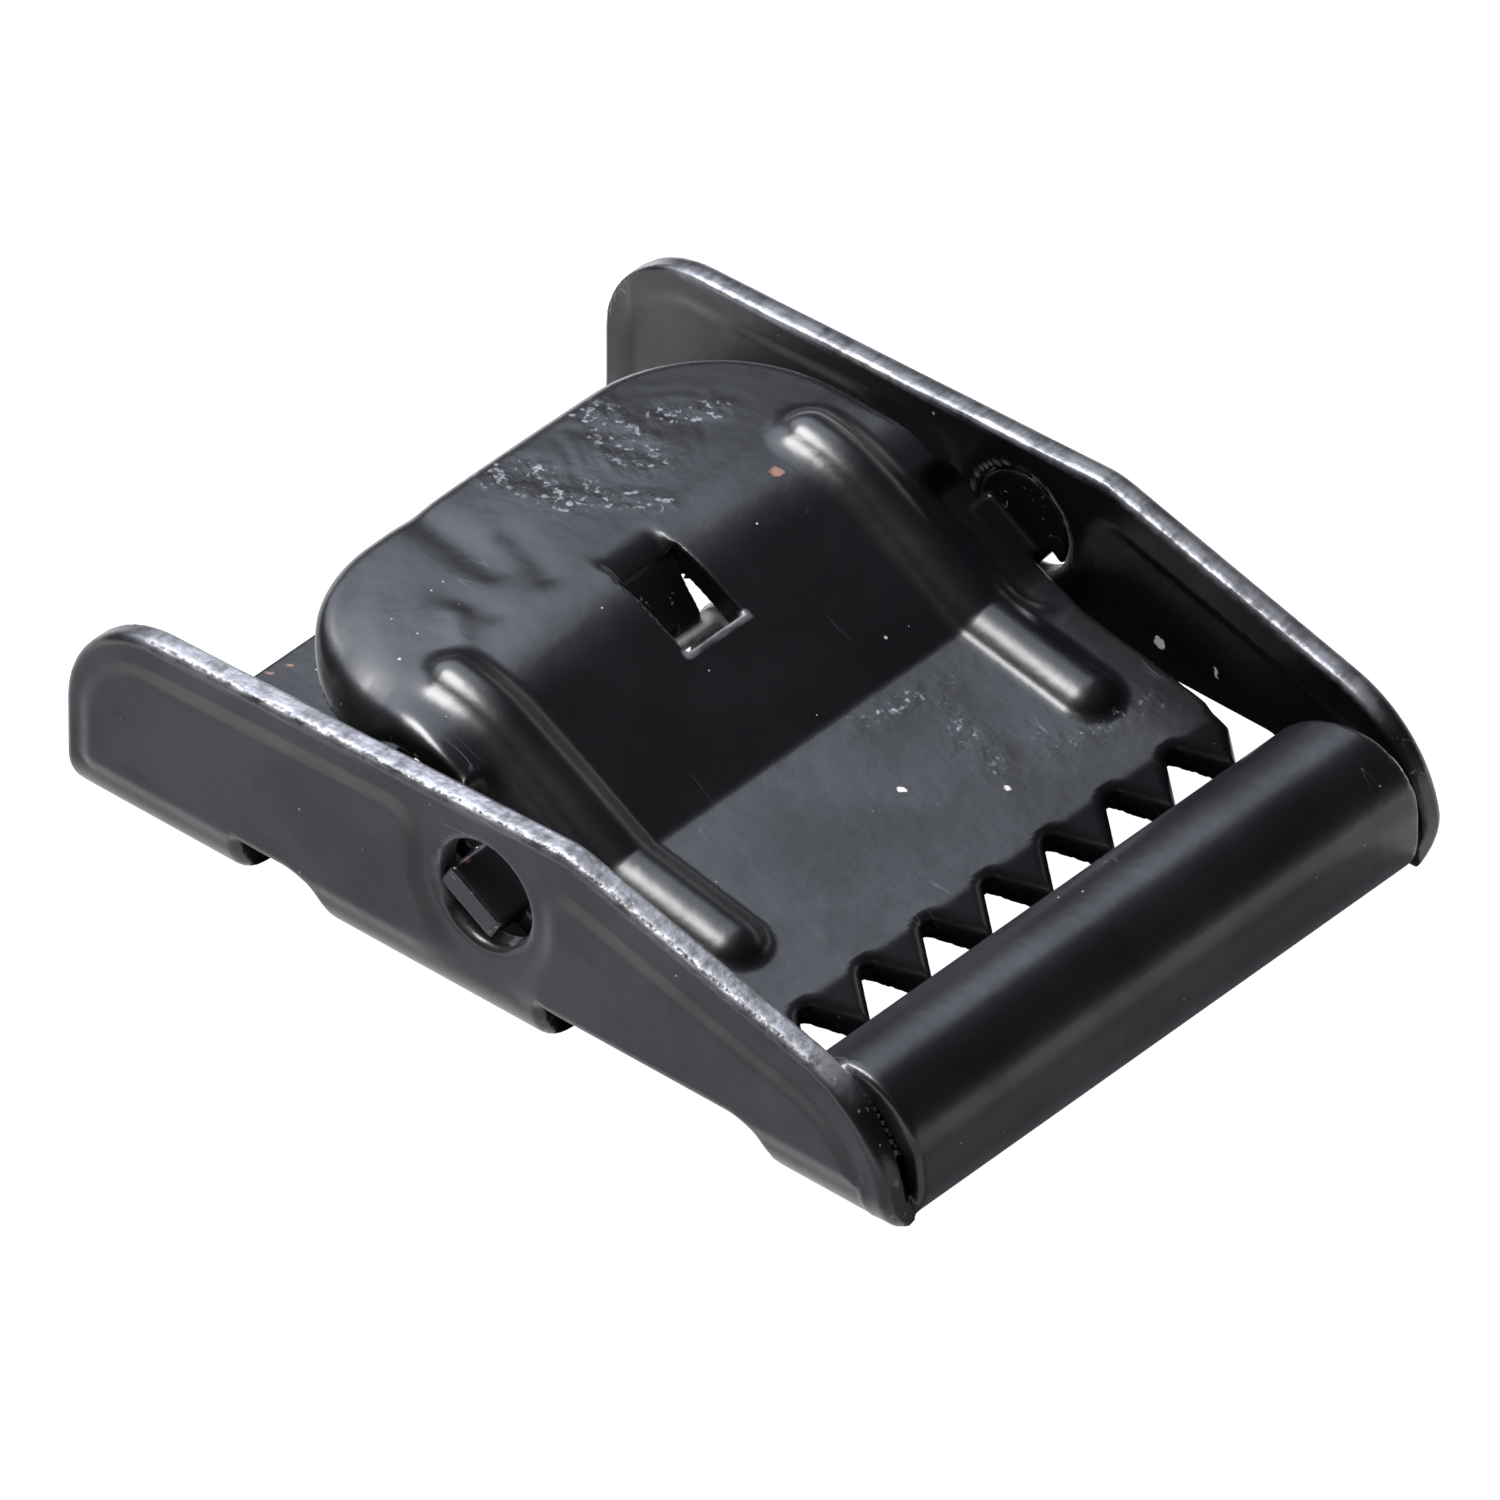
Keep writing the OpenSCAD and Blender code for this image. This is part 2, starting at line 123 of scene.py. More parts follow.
def rounded(corners):
    """Closed outline through corners (u, v, radius), going anticlockwise, as points."""
    points = []
    for i, (u, v, radius) in enumerate(corners):
        here = np.array([u, v])
        back = np.array(corners[i - 1][:2]) - here
        ahead = np.array(corners[(i + 1) % len(corners)][:2]) - here
        back, ahead = back / np.hypot(*back), ahead / np.hypot(*ahead)
        half = math.acos(np.clip(back @ ahead, -1, 1)) / 2
        if radius == 0:
            points.append(here)
            continue
        middle = back + ahead
        centre = here + middle / np.hypot(*middle) * radius / math.sin(half)
        start = here + back * radius / math.tan(half) - centre
        turn = math.pi - 2 * half
        steps = max(3, int(math.degrees(turn) / ARC_STEP))
        for k in range(steps + 1):
            a = turn * k / steps
            points.append(centre + [start[0] * math.cos(a) - start[1] * math.sin(a),
                                    start[0] * math.sin(a) + start[1] * math.cos(a)])
    return np.array(points)


class Outline:
    """Distance to a closed outline, worked out once on a fine grid and read between its points."""
    STEP = 0.06

    def __init__(self, points, low, high):
        self.low = np.array(low, float)
        count = np.ceil((np.array(high) - self.low) / self.STEP).astype(int) + 2
        u = self.low[0] + self.STEP * np.arange(count[0])[:, None]
        v = self.low[1] + self.STEP * np.arange(count[1])[None, :]
        gap = np.full((count[0], count[1]), FAR)
        inside = np.zeros(gap.shape, bool)
        for a, b in zip(points, np.roll(points, -1, axis=0)):
            gap = np.minimum(gap, line_distance(u, v, a, b))
            if a[1] != b[1]:
                inside ^= ((v >= min(a[1], b[1])) & (v < max(a[1], b[1]))
                           & (u < a[0] + (v - a[1]) * (b[0] - a[0]) / (b[1] - a[1])))
        self.values = np.where(inside, -gap, gap)

    def __call__(self, u, v):
        u, v = np.broadcast_arrays(u, v)
        last = np.array(self.values.shape) - 1.001  # so that i + 1 and j + 1 are on the grid
        p = np.clip((u - self.low[0]) / self.STEP, 0, last[0])
        q = np.clip((v - self.low[1]) / self.STEP, 0, last[1])
        i, j = p.astype(int), q.astype(int)
        p, q, t = p - i, q - j, self.values
        return ((t[i, j] * (1 - p) + t[i + 1, j] * p) * (1 - q)
                + (t[i, j + 1] * (1 - p) + t[i + 1, j + 1] * p) * q)


# Channel: the walls' side outline, the pressed panel, the windows, the slits and the curled bar

KNEE = np.array([4.37, 10.1])  # where a wall's top edge turns down towards the bar
TOP_RISE = math.tan(math.radians(1.9))
SLOPE_FALL = math.tan(math.radians(15.5))
WALL_FRONT = FRONT_X - 0.45
WALL_R = dict(rear_low=1.1, front=6, knee=4, rear_top=4.8)
BASE_REAR = REAR_X + 1.45
BASE_CORNER_R = 0.5
BEND_IN = 0.9  # inner radius between the base and a wall
BEND_OUT = BEND_IN + SHEET
HOLE_R = 2.28
RING_R = 3.25  # the flat ring round the hole, which the panel leaves out
RING_BLEND = 2.2
PANEL_LOW = 2.1
# how far the panel's outline stays inside the wall's, and the radii of its corners
PANEL_IN = dict(rear=1.0, front=1.2, top=1.3, slope=1.65)
PANEL_R = dict(low=0.6, front=4.8, peak=1.5, rear=3.6)
PANEL_STEP = (-0.55, 0.3)  # where its step starts and ends, from inside to outside its outline
WINDOW_TOP = 2.3
WINDOW_R = (1.8, 0.15)  # of its front and rear corner in the wall
WINDOWS = [(-12.3, -8.1), (3.1, 14.3)]
SLIT_X = FRONT_X - BEND_OUT - 0.7
SLIT_HALF = INNER_W - 0.45
BAR_HALF = SLIT_HALF - 0.3
BAR_NEAR_TURN = [66, 88, 110]  # degrees from the top of the curl, towards its front
BAR_NEAR_HALF = [INNER_W + 0.05, INNER_W - 0.14, INNER_W - 0.26]
BAR_FAR_BACK = [0, 3.8, 6.8]  # places behind the front of the bar
BAR_FAR_IN = [0, 0.9, 1.5]  # how far the far end is drawn in there
CURL_R = 3.2
CURL_Z = 3.3
CURL_SWEEP = 212
WALL_RIM_R, OUTER_RIM_MORE = 0.2, 0.22  # of the inner rims, and how much more the outer have
FAR_HOLE_RIM_R = 0.06
BAR_RIM_R = 0.3


def top_edge(x):
    """Height of a wall's top edge behind its knee."""
    return KNEE[1] + TOP_RISE * (x - KNEE[0])


def slope_edge(x):
    """Height of a wall's top edge in front of its knee."""
    return KNEE[1] - SLOPE_FALL * (x - KNEE[0])


def panel_corners():
    """Corners of the pressed panel, which follows the wall's edges."""
    rear, front = REAR_X + PANEL_IN["rear"], WALL_FRONT - PANEL_IN["front"]
    top_in = PANEL_IN["top"] / math.cos(math.atan(TOP_RISE))
    slope_in = PANEL_IN["slope"] / math.cos(math.atan(SLOPE_FALL))
    peak_x = KNEE[0] + (top_in - slope_in) / (TOP_RISE + SLOPE_FALL)
    return [(rear, PANEL_LOW, PANEL_R["low"]), (front, PANEL_LOW, PANEL_R["low"]),
            (front, slope_edge(front) - slope_in, PANEL_R["front"]),
            (peak_x, top_edge(peak_x) - top_in, PANEL_R["peak"]),
            (rear, top_edge(rear) - top_in, PANEL_R["rear"])]


def window_corners(rear, front):
    """Corners of a window as it is cut into a wall, from below its edge."""
    return [(rear, -3, 0), (front, -3, 0),
            (front, WINDOW_TOP, WINDOW_R[0]), (rear, WINDOW_TOP, WINDOW_R[1])]


side_low, side_high = (REAR_X - 1, -1), (FRONT_X + 1, 12)
wall_outline = Outline(rounded([
    (REAR_X, 0, WALL_R["rear_low"]), (WALL_FRONT, 0, 0),
    (WALL_FRONT, slope_edge(WALL_FRONT), WALL_R["front"]), (KNEE[0], KNEE[1], WALL_R["knee"]),
    (REAR_X, top_edge(REAR_X), WALL_R["rear_top"])]), side_low, side_high)
panel_outline = Outline(rounded(panel_corners()), side_low, side_high)
window_outlines = [Outline(rounded(window_corners(*ends)), side_low, side_high) for ends in WINDOWS]


def hole_distance(x, z):
    return np.hypot(x - PIVOT[0], z - PIVOT[1]) - HOLE_R


def panel_distance(x, z):
    """Distance to the edge of the pressed panel, which goes round the ring of the hole."""
    ring = RING_R - HOLE_R - hole_distance(x, z)
    return blunt(panel_outline(x, z), ring, RING_BLEND)


def bar_section(x, z):
    """Distance to the curl, seen from the side."""
    half = SHEET / 2
    bend_c = (FRONT_X - BEND_OUT, BEND_OUT)
    curl_c = (FRONT_X - CURL_R, CURL_Z)
    flat_from = WINDOWS[1][1] + 1.5  # inside the base strip in front of the window
    front = FRONT_X - half
    middle = line_distance(x, z, (flat_from, half), (bend_c[0], half))
    middle = np.minimum(middle, arc_distance(x, z, bend_c, BEND_OUT - half, -90, 90))
    middle = np.minimum(middle, line_distance(x, z, (front, BEND_OUT), (front, CURL_Z)))
    middle = np.minimum(middle, arc_distance(x, z, curl_c, CURL_R - half, 0, CURL_SWEEP))
    return middle - half


def bar_end(x, y, z):
    """Half the bar's width: its far end draws in behind its front, its near end meets the wall."""
    turn = np.degrees(np.arctan2(x - (FRONT_X - CURL_R), z - CURL_Z))
    near = np.interp(turn, BAR_NEAR_TURN, BAR_NEAR_HALF)
    drawn = np.interp(FRONT_X - x, BAR_FAR_BACK, BAR_FAR_IN)
    return np.where(y < 0, near, BAR_HALF - drawn * smooth(1.2, 2.4, z))


def channel_cut(x, y, z):
    """Distance to the edges of the channel's blank: outline, holes, windows and slits."""
    side = np.abs(y)
    cut = wall_outline(x, z)
    cut = np.maximum(cut, -hole_distance(x, z))
    for window in window_outlines:
        cut = np.maximum(cut, -window(x, z))
    cut = np.maximum(cut, -blunt(x - BASE_REAR, side - INNER_W, BASE_CORNER_R))
    return np.maximum(cut, -np.maximum(SLIT_X - x, side - SLIT_HALF))


def channel_sheet(x, y, z):
    """Distance from the middle of the sheet: positive on the outside of the channel."""
    pressed = PRESS * (1 - smooth(*PANEL_STEP, panel_distance(x, z)))
    a = np.abs(y) - pressed - (INNER_W - BEND_IN)
    b = BEND_OUT - z
    corner = np.hypot(np.maximum(a, 0), np.maximum(b, 0)) + np.minimum(np.maximum(a, b), 0)
    return corner - (BEND_OUT - SHEET / 2)


def channel_field(x, y, z):
    """Distance to the surface of the whole channel."""
    middle = channel_sheet(x, y, z)
    rim = WALL_RIM_R + OUTER_RIM_MORE * smooth(-0.4, 0.4, middle)
    far_hole = (y > 0) & (middle < 0) & (np.abs(hole_distance(x, z)) < 0.5)
    rim = np.where(far_hole, FAR_HOLE_RIM_R, rim)  # sharp on the inside
    body = blunt(np.abs(middle) - SHEET / 2, channel_cut(x, y, z), rim)
    bar = blunt(bar_section(x, z), np.abs(y) - bar_end(x, y, z), BAR_RIM_R)
    return np.minimum(body, bar)


# Lever: a sheet along a side path, cut to an outline, with ribs, a lance hole and two pivot tabs

MID_A, PLATE_A, TOOTH_A = 31, 11.3, 24  # how far these fall forward, in degrees
PAD_START = np.array([lever_low[0], 10.2])
PAD_CORNER_R = 7.0
PAD_RUN = 10  # the part of the path where the corners of the pad are cut
CREST_X, CREST_R = -7.63, 8.0
PAD_L = CREST_X - PAD_START[0]
# top surface: straights (length,) and bends (turn in degrees, radius)
PATH = [(PAD_L,), (-MID_A, CREST_R), (6.72,), (MID_A - PLATE_A, 1.2), (8.9,),
        (PLATE_A - TOOTH_A, 1.5), (2.02,)]
TEETH_PITCH = 3.5
ROOT_R = 0.45
NOTCH_HALF = math.radians(35)
RIB_Y, RIB_H = 10.15, 0.72
RIB_HALF, RIB_TOP_R = (2.0, 1.75), (1.45, 1.7)  # at the rear end and on the plate
RIB_CHANGE = (10, 17)  # where along the path they go from the one to the other
LANCE_LOW, LANCE_HIGH, LANCE_HALF, LANCE_CORNER_R = 8.7, 12.6, 1.6, 0.12
TONGUE_RUN, TONGUE_R, TONGUE_TURN, TONGUE_TIP = 6.6, 3.0, 49, 1.9
TONGUE_IN = 0.03  # how far it lies below the sheet and inside its hole's width
DIP_R = 4.5  # of the sheet where it sinks into the tongue
TAB_HALF, TAB_CORNER_R = 1.5, 0.2
TAB_ENDS = (HALF_W - 0.05, HALF_W + 0.85)
TAB_BACK, TAB_BELOW = 0.2, 0.98  # how far the tab's middle lies behind the pivot and below it
BOSS_R, BOSS_Y = 2.24, (INNER_W + 0.03, HALF_W - 0.1)
BOSS_GAP = (1.62, 0.3)  # the two sides of the open corner of its outline
BOSS_GAP_TURN = math.radians(-38)
BOSS_FILLET_R = 0.2
EAR_HALF_W = INNER_W - 0.3
EAR_REACH = 2.6
EAR_BEND = (11.75, 12.95)  # between these, to each side, the ears bend down to the tabs
LEVER_RIM_R, PAD_RIM_MORE, TOOTH_RIM_MORE = 0.3, 0.55, 0.45
SHARP_RIM_R = 0.14  # of the underside and of the lance hole
TAB_RIM_R = 0.22
EDGE_R = 0.15  # of the tongue and the boss


def stretches():
    """Each straight or bend of the path: its start, heading, run along the path and measures."""
    place, heading, run, rows = PAD_START.copy(), 0.0, 0.0, []
    for move in PATH:
        along = np.array([math.cos(heading), math.sin(heading)])
        up = np.array([-along[1], along[0]])
        if len(move) == 1:
            rows.append(dict(place=place, along=along, up=up, run=run, length=move[0], radius=0))
            place = place + along * move[0]
            run += move[0]
            continue
        turn, radius = math.radians(move[0]), move[1]
        sign = math.copysign(1, turn)
        centre = place + sign * radius * up
        rows.append(dict(place=place, along=along, up=up, run=run, length=abs(turn) * radius,
                         radius=sign * radius, centre=centre))
        heading += turn
        place = centre - sign * radius * np.array([-math.sin(heading), math.cos(heading)])
        run += abs(turn) * radius
    return rows


ROWS = stretches()
RUN_END = ROWS[-1]["run"] + ROWS[-1]["length"]


def unroll(x, z):
    """Place along the lever's path and height over its top surface."""
    best = np.full(np.broadcast(x, z).shape, FAR)
    run, height = best.copy(), best.copy()
    for i, row in enumerate(ROWS):
        if row["radius"] == 0:
            dx, dz = x - row["place"][0], z - row["place"][1]
            u = dx * row["along"][0] + dz * row["along"][1]
            n = dx * row["up"][0] + dz * row["up"][1]
            s = row["run"] + u
            fits = ((u >= 0) | (i == 0)) & ((u <= row["length"]) | (i == len(ROWS) - 1))
        else:
            dx, dz = x - row["centre"][0], z - row["centre"][1]
            sign = math.copysign(1, row["radius"])
            across = dx * row["along"][0] + dz * row["along"][1]
            out = -sign * (dx * row["up"][0] + dz * row["up"][1])
            angle = np.arctan2(across, out)
            s = row["run"] + angle * abs(row["radius"])
            n = sign * (abs(row["radius"]) - np.hypot(dx, dz))
            fits = (angle >= 0) & (s <= row["run"] + row["length"])
        closer = fits & (np.abs(n) < best)
        best = np.where(closer, np.abs(n), best)
        run, height = np.where(closer, s, run), np.where(closer, n, height)
    return run, height


def run_at(x):
    """Place along the path of the crest's point at x."""
    turned = math.asin((x - CREST_X) / CREST_R)
    return ROWS[1]["run"] + ROWS[1]["length"] / math.radians(MID_A) * turned


RIB_RUN = (run_at(-6.3), ROWS[4]["run"] + 5.1)  # both ends of the ribs
ROOT_RUN = ROWS[5]["run"] + ROWS[5]["length"] + 0.1  # the roots of the teeth
SLOPE_UP = np.array([math.sin(math.radians(MID_A)), math.cos(math.radians(MID_A))])
SLOPE_ALONG = np.array([SLOPE_UP[1], -SLOPE_UP[0]])
TAB_C = PIVOT - TAB_BACK * SLOPE_ALONG - TAB_BELOW * SLOPE_UP
TAB_RUN = ROWS[2]["run"] + (TAB_C - ROWS[2]["place"]) @ SLOPE_ALONG
TAB_DEPTH = (TAB_C - ROWS[2]["place"]) @ SLOPE_UP
EAR_DROP = -TAB_DEPTH - SHEET / 2

PAD_CROWN = 0.4  # how much lower the sides of the pad are than its middle
PAD_BOW, BOW_START, BOW_REACH = 0.006, 1.5, 5.2
BOW_FADE = (7, 18)
NEAR_ROLL = (2.6, 3.8)  # width and radius of the pad's soft near edge
RIPPLE = 0.008  # height of the hammer marks

# dents and ridges of the pad: run and y of both ends, width, height
DENTS = [(0.4, -3.9, 4.7, -4.5, 0.9, -0.11), (4.0, -2.5, 6.6, -3.3, 0.7, -0.07),
         (4.5, -6.7, 6.4, -6.4, 0.7, -0.06), (5.5, -7.4, 7.0, -8.6, 0.5, 0.05),
         (1.5, 0.5, 3.5, 1.5, 1.0, -0.05), (2.2, 4.5, 4.2, 4.6, 0.8, -0.05),
         (3.3, 7.0, 4.6, 7.6, 0.8, -0.04)]


def rib_height(s, y):
    """Pressed rib: a round top that runs into the sheet with a fillet."""
    off = line_distance(s, np.abs(y), (RIB_RUN[0], RIB_Y), (RIB_RUN[1], RIB_Y))
    ahead = smooth(*RIB_CHANGE, s)
    half = RIB_HALF[0] + (RIB_HALF[1] - RIB_HALF[0]) * ahead
    top_r = RIB_TOP_R[0] + (RIB_TOP_R[1] - RIB_TOP_R[0]) * ahead
    steep = np.sin(2 * np.arctan(RIB_H / half))
    foot_r = half / steep - top_r
    top = RIB_H - top_r + np.sqrt(np.maximum(top_r ** 2 - off ** 2, 0))
    foot = foot_r - np.sqrt(np.maximum(foot_r ** 2 - np.maximum(half - off, 0) ** 2, 0))
    return np.where(off < top_r * steep, top, foot)


def pad_bow(s):
    """How far the pad bows down towards its crest. The bow fades out along the slope."""
    return PAD_BOW * np.clip(s - BOW_START, 0, BOW_REACH) ** 2 * (1 - smooth(*BOW_FADE, s))


def pad_outline(s, y):
    """Distance to the pad's outline with its round corners, which runs on past the teeth."""
    return rectangle(s, y, (0, -LEVER_HALF_W), (60, LEVER_HALF_W), PAD_CORNER_R)


def lance_hole(s, y, radius=0.0):
    return rectangle(s, y, (LANCE_LOW, -LANCE_HALF), (LANCE_HIGH, LANCE_HALF), radius)


def pad_relief(s, y):
    """How the used pad stands off its true shape: crown, dents, hammer marks, rolled near edge."""
    height = -PAD_CROWN * (y / LEVER_HALF_W) ** 2
    for a, b, c, d, width, rise in DENTS:
        height = height + rise * np.exp(-(line_distance(s, y, (a, b), (c, d)) / width) ** 2)
    u, v = s + 0.5 * np.sin(1.9 * y + 0.6), y + 0.6 * np.sin(1.3 * s + 0.8 * y)
    ripple = np.sin(3.3 * u + 1.1 * v) * np.sin(2.7 * v - 1.6 * u + 1)
    ripple = ripple + 0.5 * np.sin(5.3 * v + 3.1 * u)
    band = np.exp(-((s - 3.0 - 0.12 * (y - 4)) / 1.9) ** 2)
    height = height + RIPPLE * ripple * (band * smooth(-1.5, 0.5, y) * (1 - smooth(8, 10, y)))
    inside = -pad_outline(s, y)
    roll = np.maximum(NEAR_ROLL[0] - inside, 0) ** 2 / (2 * NEAR_ROLL[1])
    roll = roll * smooth(-5, -9, y) * smooth(1, 4, s) * (1 - smooth(5.5, 8.5, s))
    return (height - roll) * (1 - smooth(6.5, 12, s)) - pad_bow(s)


def ear_window(s, reach):
    """1 beside the tabs, where the sheet is wider, and 0 away from them."""
    rear, front = TAB_RUN - reach, TAB_RUN + reach
    return smooth(rear - 1.4, rear, s) - smooth(front - 0.6, front + 2.2, s)


def notch_distance(s, y):
    """Distance to the nearest notch between two teeth."""
    v = np.abs(y - TEETH_PITCH * np.round(y / TEETH_PITCH))
    u = s - ROOT_RUN - ROOT_R
    along = u * math.cos(NOTCH_HALF) + v * math.sin(NOTCH_HALF)
    flank = v * math.cos(NOTCH_HALF) - u * math.sin(NOTCH_HALF) - ROOT_R
    return np.where(along < 0, np.hypot(u, v) - ROOT_R, flank)


def lever_cut(s, y):
    """Distance to the edge of the lever's blank: outline, ears, teeth and lance hole."""
    side = np.abs(y)
    edge = LEVER_HALF_W + (EAR_HALF_W - LEVER_HALF_W) * ear_window(s, EAR_REACH)
    cut = np.where(s < PAD_RUN, pad_outline(s, y), side - edge)
    cut = np.maximum(cut, s - RUN_END)
    cut = np.maximum(cut, -notch_distance(s, y))
    return np.maximum(cut, -lance_hole(s, y, LANCE_CORNER_R))


def tongue_distance(x, y, z):
    """The strip that the lance bent down from the rear edge of its hole, as wide as the hole."""
    fall = 2 * PAD_BOW * (TONGUE_RUN - BOW_START)  # the bowed pad's slope where the strip starts
    place = PAD_START + (TONGUE_RUN, -pad_bow(TONGUE_RUN) - TONGUE_IN)
    dx, dz = x - place[0], z - place[1]
    u = dx * math.cos(fall) - dz * math.sin(fall)
    n = dx * math.sin(fall) + dz * math.cos(fall)
    centre, middle_r, turn = (0, -TONGUE_R), TONGUE_R - SHEET / 2, math.radians(TONGUE_TURN)
    middle = arc_distance(u, n, centre, middle_r, 90 - TONGUE_TURN, TONGUE_TURN)
    tip = np.array([math.sin(turn), math.cos(turn)]) * middle_r + centre
    run = np.array([math.cos(turn), -math.sin(turn)])
    middle = np.minimum(middle, line_distance(u, n, tip, tip + TONGUE_TIP * run))
    return blunt(middle - SHEET / 2, np.abs(y) - LANCE_HALF + TONGUE_IN, EDGE_R)


def tongue_dip(s, y):
    """How far the sheet has sunk where it starts to bend into the tongue."""
    u = np.clip(s - TONGUE_RUN, 0, 2.5)
    soft = smooth(LANCE_LOW - 2.4, LANCE_LOW - 0.4, s)
    side = 1 - smooth(LANCE_HALF - 0.9 + 0.5 * soft, LANCE_HALF + 0.5 - 0.4 * soft, np.abs(y))
    return (DIP_R - np.sqrt(DIP_R ** 2 - u ** 2)) * side * (s < LANCE_LOW + 0.5)


def far_boss(x, y, z):
    """The thick round root of the far tab, which fills its hole but for one corner."""
    dx, dz, turn = x - PIVOT[0], z - PIVOT[1], BOSS_GAP_TURN
    q = dx * math.cos(turn) + dz * math.sin(turn)
    p = dz * math.cos(turn) - dx * math.sin(turn)
    disc = np.maximum(np.hypot(dx, dz) - BOSS_R, -np.maximum(BOSS_GAP[0] - q, p - BOSS_GAP[1]))
    return blunt(disc, np.maximum(BOSS_Y[0] - y, y - BOSS_Y[1]), EDGE_R)


def lever_field(x, y, z):
    """Distance to the surface of the whole lever."""
    s, height = unroll(x, z)
    side = np.abs(y)
    drop = EAR_DROP * smooth(*EAR_BEND, side) * ear_window(s, EAR_REACH - 0.2)
    top = height - rib_height(s, y) - pad_relief(s, y) + drop + tongue_dip(s, y)
    cut = lever_cut(s, y)
    rim = LEVER_RIM_R + PAD_RIM_MORE * (1 - smooth(8, 11, s))
    rim = rim + TOOTH_RIM_MORE * smooth(ROOT_RUN - 1.2, ROOT_RUN - 0.4, s)
    rolled = blunt(top, cut, np.where(lance_hole(s, y) < 1.2, SHARP_RIM_R, rim))
    sheet = blunt(rolled, -top - SHEET, SHARP_RIM_R)
    end = np.where(y > 0, TAB_ENDS[1], TAB_ENDS[0])
    u = (x - TAB_C[0]) * SLOPE_ALONG[0] + (z - TAB_C[1]) * SLOPE_ALONG[1]
    n = (x - TAB_C[0]) * SLOPE_UP[0] + (z - TAB_C[1]) * SLOPE_UP[1]
    length = np.maximum(side - end, LEVER_HALF_W - side)
    plan = blunt(np.abs(u) - TAB_HALF, length, TAB_CORNER_R)
    tab = blunt(np.abs(n) - SHEET / 2, plan, TAB_RIM_R)
    tab = -blunt(-tab, -far_boss(x, y, z), BOSS_FILLET_R)
    return np.minimum(np.minimum(sheet, tab), tongue_distance(x, y, z))


# Turning a distance into a mesh: a surface net on a grid, settled onto the true surface

CORNERS = [(i, j, k) for i in (0, 1) for j in (0, 1) for k in (0, 1)]
CELL_EDGES = [(a, b) for a in CORNERS for b in CORNERS
              if a < b and np.abs(np.subtract(b, a)).sum() == 1]
CHANNEL_STEP, LEVER_STEP = 0.22, 0.18  # sizes of the grids' cells
SETTLE_ROUNDS = 3


def add_object(name, data):
    obj = bpy.data.objects.new(name, data)
    bpy.context.scene.collection.objects.link(obj)
    return obj


def slope(field, p, reach=0.03):
    """Gradient of a distance at points."""
    parts = []
    for axis in range(3):
        step = np.zeros(3)
        step[axis] = reach
        parts.append((field(*(p + step).T) - field(*(p - step).T)) / (2 * reach))
    return np.stack(parts, axis=1)


def surface_net(field, low, high, step):
    """Points and quads of the surface: one point in each cell that the surface goes through."""
    count = np.ceil((high - low) / step).astype(int) + 1
    axes = [low[a] + step * np.arange(count[a]) for a in range(3)]
    values = field(axes[0][:, None, None], axes[1][None, :, None], axes[2][None, None, :])
    inside = values < 0
    share = sum(inside[tuple(slice(o, n - 1 + o) for o, n in zip(corner, count))].astype(np.int8)
                for corner in CORNERS)
    mixed = (share > 0) & (share < 8)
    cells = np.argwhere(mixed)
    number = np.full(mixed.shape, -1)
    number[mixed] = np.arange(len(cells))
    total, hits = np.zeros((len(cells), 3)), np.zeros(len(cells))
    for a, b in CELL_EDGES:
        va, vb = (values[tuple((cells + c).T)] for c in (a, b))
        crossed = (va < 0) != (vb < 0)
        t = np.where(crossed, va / np.where(crossed, va - vb, 1), 0)
        total += np.where(crossed[:, None], np.array(a) + t[:, None] * np.subtract(b, a), 0)
        hits += crossed
    points = low + (cells + total / hits[:, None]) * step
    quads = []
    for axis in range(3):
        u, w = (axis + 1) % 3, (axis + 2) % 3
        here = [slice(1, -1)] * 3
        ahead = [slice(1, -1)] * 3
        here[axis], ahead[axis] = slice(0, -1), slice(1, None)
        leaves = inside[tuple(here)]
        changes = leaves != inside[tuple(ahead)]
        at = np.argwhere(changes)
        at[:, u] += 1
        at[:, w] += 1
        corners = []
        for du, dw in ((-1, -1), (0, -1), (0, 0), (-1, 0)):
            cell = at.copy()
            cell[:, u] += du
            cell[:, w] += dw
            corners.append(number[tuple(cell.T)])
        quad = np.stack(corners, axis=1)
        flip = ~leaves[changes]
        quad[flip] = quad[flip][:, ::-1]
        quads.append(quad)
    return points, np.concatenate(quads)


def settle(field, points, step):
    """Points moved onto the surface, along the slope of its distance."""
    for _ in range(SETTLE_ROUNDS):
        d = field(*points.T)
        g = slope(field, points)
        size = np.maximum(np.sum(g * g, axis=1), 0.05)
        points = points - np.clip(d / size, -step / 2, step / 2)[:, None] * g
    return points


def metal_piece(name, field, masks, low, high, step):
    """Object with the field's surface, smooth normals and its masks as point attributes."""
    points, quads = surface_net(field, low, high, step)
    points = settle(field, points, step)
    mesh = bpy.data.meshes.new(name)
    mesh.from_pydata((points * MM).tolist(), [], quads.tolist())
    for mask, values in masks(*points.T).items():
        attribute = mesh.attributes.new(mask, "FLOAT", "POINT")
        attribute.data.foreach_set("value", values.astype(np.float32))
    g = slope(field, points, 0.05)
    normals = g / np.maximum(np.linalg.norm(g, axis=1), 1e-6)[:, None]
    mesh.polygons.foreach_set("use_smooth", np.ones(len(mesh.polygons), bool))
    mesh.normals_split_custom_set_from_vertices(normals.tolist())
    print(name, len(points), "points", len(quads), "quads")
    return add_object(name, mesh)


# Wear, as masks on the points of each piece. Spots of rust and light flecks: x, y, z, reach

